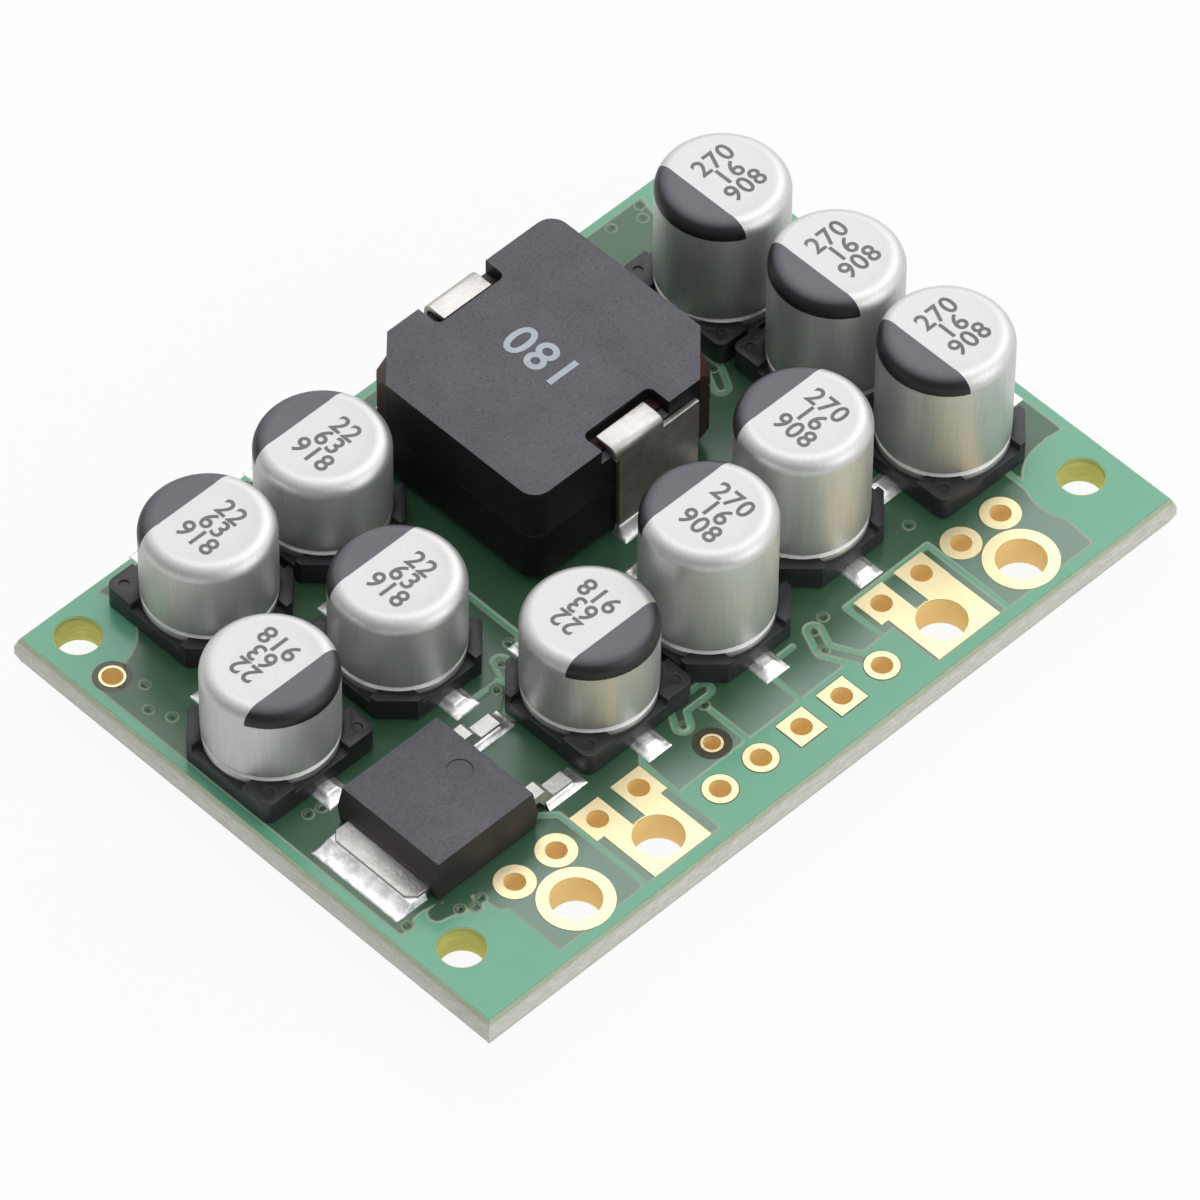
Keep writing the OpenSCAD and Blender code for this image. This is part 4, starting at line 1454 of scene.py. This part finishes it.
@dataclass
class CanCapacitors:
    """The ten can capacitors: their cans, bases, leads and printing.

    Attributes:
        finishes: The part's materials.
        radius: Radius of a can.
        sides: Steps round a can.
        foot: Radius of the rounding round its floor.
        bead_drop: From the crimp's middle down to the middle of the bead under it.
        bead_half: Half the height of the bead.
        bead_swell: How far the bead's middle stands out past its ends.
        crimp: Height of the crimp's middle above the board.
        crimp_half: Half the height of the crimp.
        crimp_depth: Depth of the crimp.
        shoulder: Radius of the rounding under the top.
        dish: How far the middle of a can's top is pressed in.
        dish_radii: Radii of the points across the top, from the rim of the dish inwards.
        base_edge: Width of the rounding on the bases.
        digit_size: Height of a line of numbers.
        line_pitch: From one line of numbers to the next.
        number_place: From the can's axis to the middle of the numbers.
        turns: Where the negative side of each can points, for each kind of can.
        numbers: Lines of numbers on each kind of can.
    """

    finishes: Finishes
    radius: float = 3.15
    sides: int = 128
    foot: float = 0.25
    bead_drop: float = 0.36
    bead_half: float = 0.14
    bead_swell: float = 0.02
    crimp: float = 1.45
    crimp_half: float = 0.17
    crimp_depth: float = 0.16
    shoulder: float = 0.75
    dish: float = 0.02
    dish_radii: tuple[float, ...] = (2.3, 2.2, 1.4, 0.7, 0.0)
    base_edge: float = 0.07
    digit_size: float = 1.38
    line_pitch: float = 1.04
    number_place: float = 0.42
    turns: dict[str, tuple[Turn, ...]] = field(default_factory=lambda: {
        "short": (Turn.BACK, Turn.BACK, Turn.BACK, Turn.FRONT, Turn.FRONT),
        "tall": (Turn.LEFT, Turn.LEFT, Turn.LEFT, Turn.BACK, Turn.BACK)})
    numbers: dict[str, tuple[str, ...]] = field(default_factory=lambda: {
        "short": ("22", "63", "918"), "tall": ("270", "16", "908")})

    def _profile(self, low: float, high: float) -> np.ndarray:
        """Half section of a can: floor, bead, crimp, wall, shoulder and slightly dished top.

        The crimp's depth follows a raised cosine of the height, and the bead a parabola.

        Args:
            low: Height of the can's floor.
            high: Height of its top.

        Returns:
            Rows of radius and height.
        """
        crimp = BOARD_TOP + self.crimp
        share = np.linspace(-1, 1, 17)
        floor = [[0, low], [self.radius - self.foot - 0.05, low]]
        foot = arc((self.radius - self.foot, low + self.foot), self.foot - 0.01, -80, -5, 5)
        bead = np.stack([self.radius - self.bead_swell * share[::2] ** 2,
                         crimp - self.bead_drop + self.bead_half * share[::2]], axis=1)
        groove = np.stack([self.radius - self.crimp_depth * (1 + np.cos(math.pi * share)) / 2,
                           crimp + self.crimp_half * share], axis=1)
        wall = np.stack([np.full(6, self.radius),
                         np.linspace(crimp + 0.25, high - self.shoulder - 0.02, 6)], axis=1)
        rounding = arc((self.radius - self.shoulder, high - self.shoulder), self.shoulder, 4, 90, 16)
        top = [[self.dish_radii[0], high]] + [[radius, high - self.dish] for radius in self.dish_radii[1:]]
        return np.concatenate([floor, foot, bead, groove, wall, rounding, top])

    def _can(self, node: str, turn: Turn) -> None:
        """Makes one can: its half section is carried round the axis.

        Args:
            node: The CAD node.
            turn: Where its negative side points.
        """
        low, high = box_mm(node)
        points, faces = revolve(self._profile(low[2], high[2]), self.sides)
        angle = math.radians(turn.value)
        spin = np.array([[math.cos(angle), -math.sin(angle)], [math.sin(angle), math.cos(angle)]])
        own = points - (0, 0, high[2])
        placed = points.copy()
        placed[:, :2] = points[:, :2] @ spin.T + (low[:2] + high[:2]) / 2
        mesh = make_mesh(node + "_shell", placed, faces, fields={"can_place": own})
        new_piece(node + "_shell", mesh, self.finishes.can, (node,))

    def _print(self, node: str, turn: Turn, lines: tuple[str, ...]) -> None:
        """Prints plain numbers on a can's top, read from the dark segment outwards.

        Args:
            node: The can's CAD node.
            turn: Where its negative side points.
            lines: The lines of numbers.
        """
        low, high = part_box(node)
        turned = Matrix.Rotation(math.radians(turn.value + 90), 4, "Z")
        centre = Matrix.Translation(((low.x + high.x) / 2, (low.y + high.y) / 2, high.z))
        parts = [numerals(text, self.digit_size, (self.number_place, (1 - index) * self.line_pitch),
                          INK_LIFT - self.dish) for index, text in enumerate(lines)]
        mesh = joined(node + "_print", parts)
        mesh.transform(centre @ turned)
        new_piece(node + "_print", mesh, self.finishes.can_ink)

    def build(self) -> None:
        """Makes the cans, rounds the bases and dresses the leads."""
        for kind, turns in self.turns.items():
            for index, turn in enumerate(turns, 1):
                node, base = f"{kind}_can_{index}", f"{kind}_base_{index}"
                self._can(node, turn)
                self._print(node, turn, self.numbers[kind])
                soften(f"{base}_moulding", base, self.finishes.base, self.base_edge)
                dress(f"{kind}_leads_{index}", self.finishes.tin)


# ---------------------------------------------------------------- solder


@dataclass(frozen=True)
class Joint:
    """One solder joint, in a frame whose +Y runs out along the lead.

    Attributes:
        place: Origin of the joint's frame on the board.
        turn: Turn of the frame in degrees.
        land: The land's left, right, inner and outer ends.
        lead: The lead's left, right and outer ends; it starts at the land's inner end.
        rise: Height that the solder climbs to at the lead.
        film: Height of the solder far from the lead.
    """

    place: Point
    turn: float
    land: tuple[float, float, float, float]
    lead: tuple[float, float, float]
    rise: float
    film: float = 0.07


@dataclass
class SolderWork:
    """Solder on the lands: a hollow slope from each lead down to the land's rim.

    Attributes:
        finishes: The part's materials.
        cell: Side of a cell of a joint's grid.
        rim: Width of the rounded rim of a land.
        lift: How far the solder's rim stands above the board.
        least: Least way that a slope may take.
        power: How fast the slope falls.
        wave: Height of the waves that the solder froze in.
        first_seed: Start of the first joint's unevenness; each next joint has the next one.
        can_land: The land of a can's lead, as a joint states it.
        can_lead: The lead of a can, as a joint states it.
        can_rise: Height that the solder climbs to at a can's lead.
        foot_margin: From the end of a terminal's foot to the end of its land.
        foot_land: Inner and outer ends of a terminal's land.
        foot_rise: Height that the solder climbs to at a terminal's foot.
        foot_inset: Half the width that the foot lacks at one end of the terminal's box.
        tab_margin: From the side of the cooling tab to the side of its land.
        tab_land: Inner and outer ends of its land.
        tab_rise: Height that the solder climbs to at the tab.
        pin_half: Half the width of a transistor lead.
        pin_land: The land of a transistor lead, as a joint states it.
        pin_rise: Height that the solder climbs to there.
    """

    finishes: Finishes
    cell: float = 0.06
    rim: float = 0.09
    lift: float = 0.001
    least: float = 0.05
    power: float = 2.1
    wave: float = 0.012
    first_seed: int = 11
    can_land: tuple[float, float, float, float] = (-0.74, 0.74, 2.91, 4.56)
    can_lead: tuple[float, float, float] = (-0.33, 0.33, 3.93)
    can_rise: float = 0.27
    foot_margin: float = 0.22
    foot_land: Point = (-0.25, 0.68)
    foot_rise: float = 0.62
    foot_inset: float = 0.12
    tab_margin: float = 0.14
    tab_land: Point = (-0.9, 0.98)
    tab_rise: float = 0.50
    pin_half: float = 0.38
    pin_land: tuple[float, float, float, float] = (-0.64, 0.64, -1.6, 0.78)
    pin_rise: float = 0.46

    def _sheet(self, joint: Joint, seed: int) -> tuple[np.ndarray, np.ndarray]:
        """Height of one joint over a grid.

        The height falls from the lead with a power of what is left of the way to the
        rim, and is rounded off to nothing at the rim itself. Two products of sines make
        it uneven, more so away from the lead.

        Args:
            joint: The joint.
            seed: Start of its own small unevenness.

        Returns:
            The points in the part's frame, and the faces.
        """
        left, right, inner, outer = joint.land
        lead_left, lead_right, lead_outer = joint.lead
        across = np.linspace(left, right, max(8, int((right - left) / self.cell)))
        along = np.linspace(inner, outer, max(8, int((outer - inner) / self.cell)))
        u, v = np.meshgrid(across, along)
        beside = np.maximum((lead_left - u) / max(lead_left - left, self.least),
                            (u - lead_right) / max(right - lead_right, self.least))
        beyond = (v - lead_outer) / max(outer - lead_outer, self.least)
        away = np.clip(np.hypot(np.maximum(beside, 0), np.maximum(beyond, 0)), 0, 1)
        chance = np.random.default_rng(seed)
        phase = chance.uniform(0, 6.28, 4)
        waves = (np.sin(5.1 * u + phase[0]) * np.sin(4.3 * v + phase[1])
                 + 0.5 * np.sin(9.7 * u + phase[2]) * np.sin(8.9 * v + phase[3]))
        climb = joint.rise * chance.uniform(0.86, 1.05)
        height = (joint.film + (climb - joint.film) * (1 - away) ** self.power
                  + self.wave * waves * np.sqrt(away))
        border = np.clip(np.minimum(np.minimum(u - left, right - u), outer - v) / self.rim, 0, 1)
        height = height * np.sqrt(border * (2 - border))
        angle = math.radians(joint.turn)
        x = joint.place[0] + u * math.cos(angle) - v * math.sin(angle)
        y = joint.place[1] + u * math.sin(angle) + v * math.cos(angle)
        points = np.stack([x, y, BOARD_TOP + self.lift + height], axis=-1).reshape(-1, 3)
        return points, grid_faces(len(along), len(across))

    def _lay(self, name: str, joints: list[Joint], node: str) -> None:
        """Lays a set of joints as one piece that stands for a CAD node.

        Args:
            name: Name of the piece.
            joints: The joints.
            node: The CAD node.
        """
        points, faces, start = [], [], 0
        for index, joint in enumerate(joints):
            sheet, quads = self._sheet(joint, index + self.first_seed)
            points.append(sheet)
            faces.append(quads + start)
            start += len(sheet)
        mesh = make_mesh(name, np.concatenate(points), faces)
        new_piece(name, mesh, self.finishes.solder, (node,))

    def _can_joints(self) -> list[Joint]:
        """Two joints for each can, on the two ends of its leads.

        Returns:
            The joints.
        """
        joints = []
        for kind in ("short", "tall"):
            for index in range(1, 6):
                low, high = box_mm(f"{kind}_leads_{index}")
                first = 0 if high[1] - low[1] > high[0] - low[0] else 90
                joints += [Joint(tuple((low[:2] + high[:2]) / 2), turn, self.can_land, self.can_lead,
                                 self.can_rise) for turn in (first, first + 180)]
        return joints

    def _terminal_joints(self) -> list[Joint]:
        """A joint along the foot of each inductor terminal.

        Returns:
            The joints.
        """
        joints = []
        for node, turn, sign in (("front_terminal", 180.0, 1), ("back_terminal", 0.0, -1)):
            low, high = box_mm(node)
            middle = (low[0] + high[0]) / 2 + sign * self.foot_inset
            half = (high[0] - low[0]) / 2 - self.foot_inset
            face = low[1] if sign == 1 else high[1]
            joints.append(Joint((middle, face), turn,
                                (-half - self.foot_margin, half + self.foot_margin, *self.foot_land),
                                (-half, half, 0.02), self.foot_rise))
        return joints

    def _transistor_joints(self) -> list[Joint]:
        """A joint round the cooling tab's end and one for each long lead.

        Returns:
            The joints.
        """
        low, high = box_mm("transistor_tab")
        half = (high[1] - low[1]) / 2
        joints = [Joint((low[0], (low[1] + high[1]) / 2), 90.0,
                        (-half - self.tab_margin, half + self.tab_margin, *self.tab_land),
                        (-half, half, 0.0), self.tab_rise)]
        low, high = box_mm("transistor_leads")
        for y in (low[1] + self.pin_half, high[1] - self.pin_half):
            joints.append(Joint((high[0], y), -90.0, self.pin_land, (-self.pin_half, self.pin_half, 0.0),
                                self.pin_rise))
        return joints

    def build(self) -> None:
        """Lays every joint."""
        self._lay("can_joints", self._can_joints(), "capacitor_solder")
        self._lay("terminal_joints", self._terminal_joints(), "inductor_solder")
        self._lay("transistor_joints", self._transistor_joints(), "transistor_solder")


# ---------------------------------------------------------------- inductor and transistor


@dataclass
class PowerInductor:
    """Two core halves round a winding, with terminals folded over the top.

    Attributes:
        finishes: The part's materials.
        core_edge: Width of the rounding on the core halves.
        strip_edge: Width of the rounding on the terminals.
        number: The number on its top.
        digit_size: Height of the number.
    """

    finishes: Finishes
    core_edge: float = 0.12
    strip_edge: float = 0.06
    number: str = "180"
    digit_size: float = 2.5

    def build(self) -> None:
        """Rounds the core's and terminals' edges and prints the number."""
        for node in ("core_lower", "core_upper"):
            soften(f"{node}_pressing", node, self.finishes.core, self.core_edge, 3)
        for node in ("front_terminal", "back_terminal"):
            soften(f"{node}_strip", node, self.finishes.strip, self.strip_edge)
        dress("winding", self.finishes.wire)
        low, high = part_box("core_upper")
        mesh = numerals(self.number, self.digit_size, (0, 0), INK_LIFT)
        middle = Matrix.Translation(((low.x + high.x) / 2, (low.y + high.y) / 2, high.z))
        mesh.transform(middle @ Matrix.Rotation(math.radians(90), 4, "Z"))
        new_piece("core_number", mesh, self.finishes.core_ink)


@dataclass
class ProtectionTransistor:
    """The moulded transistor with its cooling tab and leads.

    Attributes:
        finishes: The part's materials.
        body_edge: Width of the rounding on the moulded body.
        tab_edge: Width of the rounding on the cooling tab.
    """

    finishes: Finishes
    body_edge: float = 0.08
    tab_edge: float = 0.05

    def build(self) -> None:
        """Rounds the moulding's edges and dresses the metal."""
        soften("transistor_moulding", "transistor_body", self.finishes.package,
               self.body_edge)
        soften("transistor_sink", "transistor_tab", self.finishes.sink, self.tab_edge)
        dress("transistor_leads", self.finishes.sink)


@dataclass
class UndersideParts:
    """Controller, switches, ceramic capacitors and chip resistors under the board.

    Attributes:
        finishes: The part's materials.
    """

    finishes: Finishes

    def build(self) -> None:
        """Dresses each kind of part."""
        for finish, nodes in (
                (self.finishes.package, ("controller", "switch_bodies")),
                (self.finishes.tin, ("controller_pins", "switch_legs", "ceramic_ends", "chip_ends")),
                (self.finishes.ceramic, ("ceramic_bodies",)),
                (self.finishes.film, ("chip_bodies",))):
            for node in nodes:
                dress(node, finish)


# ---------------------------------------------------------------- studio


@dataclass(frozen=True)
class Lamp:
    """A square soft lamp that faces the part.

    Attributes:
        name: Name of the lamp.
        place: Its middle.
        size: Its side.
        power: Its power in watts.
    """

    name: str
    place: tuple[float, float, float]
    size: float
    power: float

    def build(self) -> None:
        """Sets the lamp in its place and turns it to the part."""
        data = bpy.data.lights.new(self.name, "AREA")
        data.shape = "SQUARE"
        data.size = self.size * MM
        data.energy = self.power
        lamp = bpy.data.objects.new(self.name, data)
        bpy.context.scene.collection.objects.link(lamp)
        lamp.location = Vector(self.place) * MM
        lamp.rotation_euler = (-Vector(self.place)).to_track_quat("-Z", "Y").to_euler()


@dataclass
class Studio:
    """Pale floor, soft lamps, white surroundings and the camera.

    Attributes:
        azimuth: Direction of the camera round the part, in degrees.
        elevation: Height of the camera above the horizon, in degrees.
        distance: From the camera to the point that it looks at, in millimetres.
        lens: Focal length in millimetres.
        roll: Turn of the camera about its own line of sight, in degrees.
        aim: The point that the camera looks at.
        floor_half: Half the side of the floor.
        floor_gap: How far the floor lies under the part.
        floor_grey: Brightness of the floor in the lamps' light.
        whiteness: Share of the floor's own brightness in what the camera sees of it.
        bounce: Soft light that the floor gives back to the part, also under it.
        tent_way: Direction of the bright side of what shiny surfaces mirror.
        tent_dim: What they mirror on the other side.
        ambient: Light of the surroundings on the part.
        lamps: The lamps.
    """

    azimuth: float = -44.9
    elevation: float = 50.0
    distance: float = 505.0
    lens: float = 336.5
    roll: float = 0.6
    aim: tuple[float, float, float] = (0.3, 0.2, 0.1)
    floor_half: float = 900.0
    floor_gap: float = 0.05
    floor_grey: float = 0.86
    whiteness: float = 0.93
    bounce: float = 0.80
    tent_way: tuple[float, float, float] = (0.62, 0.22, 0.75)
    tent_dim: float = 0.22
    ambient: float = 0.50
    lamps: tuple[Lamp, ...] = (Lamp("key_lamp", (170.0, 90.0, 300.0), 420.0, 0.66),
                               Lamp("fill_lamp", (90.0, -320.0, 150.0), 260.0, 0.30))

    def _camera(self) -> None:
        """Sets the camera on a sphere round the aim and turns it to the aim."""
        turn, rise = math.radians(self.azimuth), math.radians(self.elevation)
        back = Vector((math.sin(turn) * math.cos(rise), -math.cos(turn) * math.cos(rise), math.sin(rise)))
        data = bpy.data.cameras.new("camera")
        data.lens = self.lens
        data.sensor_width = 36.0
        data.clip_start = 0.01
        data.clip_end = 20.0
        camera = bpy.data.objects.new("camera", data)
        bpy.context.scene.collection.objects.link(camera)
        camera.location = Vector(self.aim) * MM + back * self.distance * MM
        look = (-back).to_track_quat("-Z", "Y").to_matrix().to_4x4()
        spin = Matrix.Rotation(math.radians(self.roll), 4, "Z")
        camera.rotation_euler = (look @ spin).to_euler()
        bpy.context.scene.camera = camera

    def _floor_finish(self) -> bpy.types.Material:
        """Pale floor: white to the camera, evenly bright to what it lights, clear from below.

        Returns:
            The material.
        """
        recipe = Recipe("floor")
        recipe.surface(base_color=(self.floor_grey,) * 3, roughness=0.9)
        glow = recipe.add("ShaderNodeEmission", {"Color": WHITE, "Strength": 1.0})
        even = recipe.add("ShaderNodeEmission", {"Color": WHITE, "Strength": self.bounce})
        clear = recipe.add("ShaderNodeBsdfTransparent")
        path = recipe.add("ShaderNodeLightPath").outputs
        below = recipe.add("ShaderNodeNewGeometry").outputs["Backfacing"]
        seen = recipe.maths("MAXIMUM", path["Is Camera Ray"], path["Is Transmission Ray"])
        lit = recipe.mixed_shader(recipe.times(seen, self.whiteness), recipe.shader, glow)
        lit = recipe.mixed_shader(path["Is Diffuse Ray"], lit, even)
        shown = recipe.mixed_shader(below, lit, clear)
        recipe.feed(recipe.output.inputs["Surface"], shown.outputs[0])
        return recipe.material

    def _floor(self) -> None:
        """Lays a pale floor just under the part."""
        span = np.linspace(-self.floor_half, self.floor_half, 3)
        x, y = np.meshgrid(span, span)
        level = np.full(x.size, -self.floor_gap)
        mesh = make_mesh("floor", np.stack([x.ravel(), y.ravel(), level], axis=1), [grid_faces(3, 3)])
        floor = bpy.data.objects.new("floor", mesh)
        bpy.context.scene.collection.objects.link(floor)
        mesh.materials.append(self._floor_finish())

    def _world(self) -> None:
        """White surroundings for the camera, pale grey light for the part."""
        world = bpy.data.worlds.new("surroundings")
        world.use_nodes = True
        bpy.context.scene.world = world
        tree = Tree(world.node_tree)
        world.node_tree.nodes.clear()
        path = tree.add("ShaderNodeLightPath").outputs
        direction = tree.add("ShaderNodeTexCoord").outputs["Generated"]
        toward = tree.add("ShaderNodeVectorMath", {0: direction, 1: self.tent_way},
                          operation="DOT_PRODUCT").outputs["Value"]
        tent = tree.between(tree.step(toward, -0.35, 0.75), self.tent_dim, 1.0)
        mirrored = tree.maths("MAXIMUM", path["Is Glossy Ray"], path["Is Transmission Ray"])
        strength = tree.between(mirrored, self.ambient, tent)
        strength = tree.between(path["Is Camera Ray"], strength, 1.0)
        sky = tree.add("ShaderNodeBackground", {"Color": WHITE, "Strength": strength})
        tree.add("ShaderNodeOutputWorld", {"Surface": sky.outputs[0]})

    def build(self) -> None:
        """Builds the whole studio."""
        self._camera()
        self._floor()
        self._world()
        for lamp in self.lamps:
            lamp.build()
        bpy.context.scene.view_settings.view_transform = "Standard"
        LOG.info("studio ready, with %d lamps", len(self.lamps))


def main() -> None:
    """Builds the part's looks and the studio."""
    logging.basicConfig(level=logging.INFO, format="%(name)s: %(message)s")
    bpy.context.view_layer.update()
    Studio().build()
    finishes = Finishes()
    for assembly in (PrintedBoard, CanCapacitors, PowerInductor, ProtectionTransistor, SolderWork,
                     UndersideParts):
        assembly(finishes).build()
    bpy.context.view_layer.update()


if __name__ == "__main__":
    main()
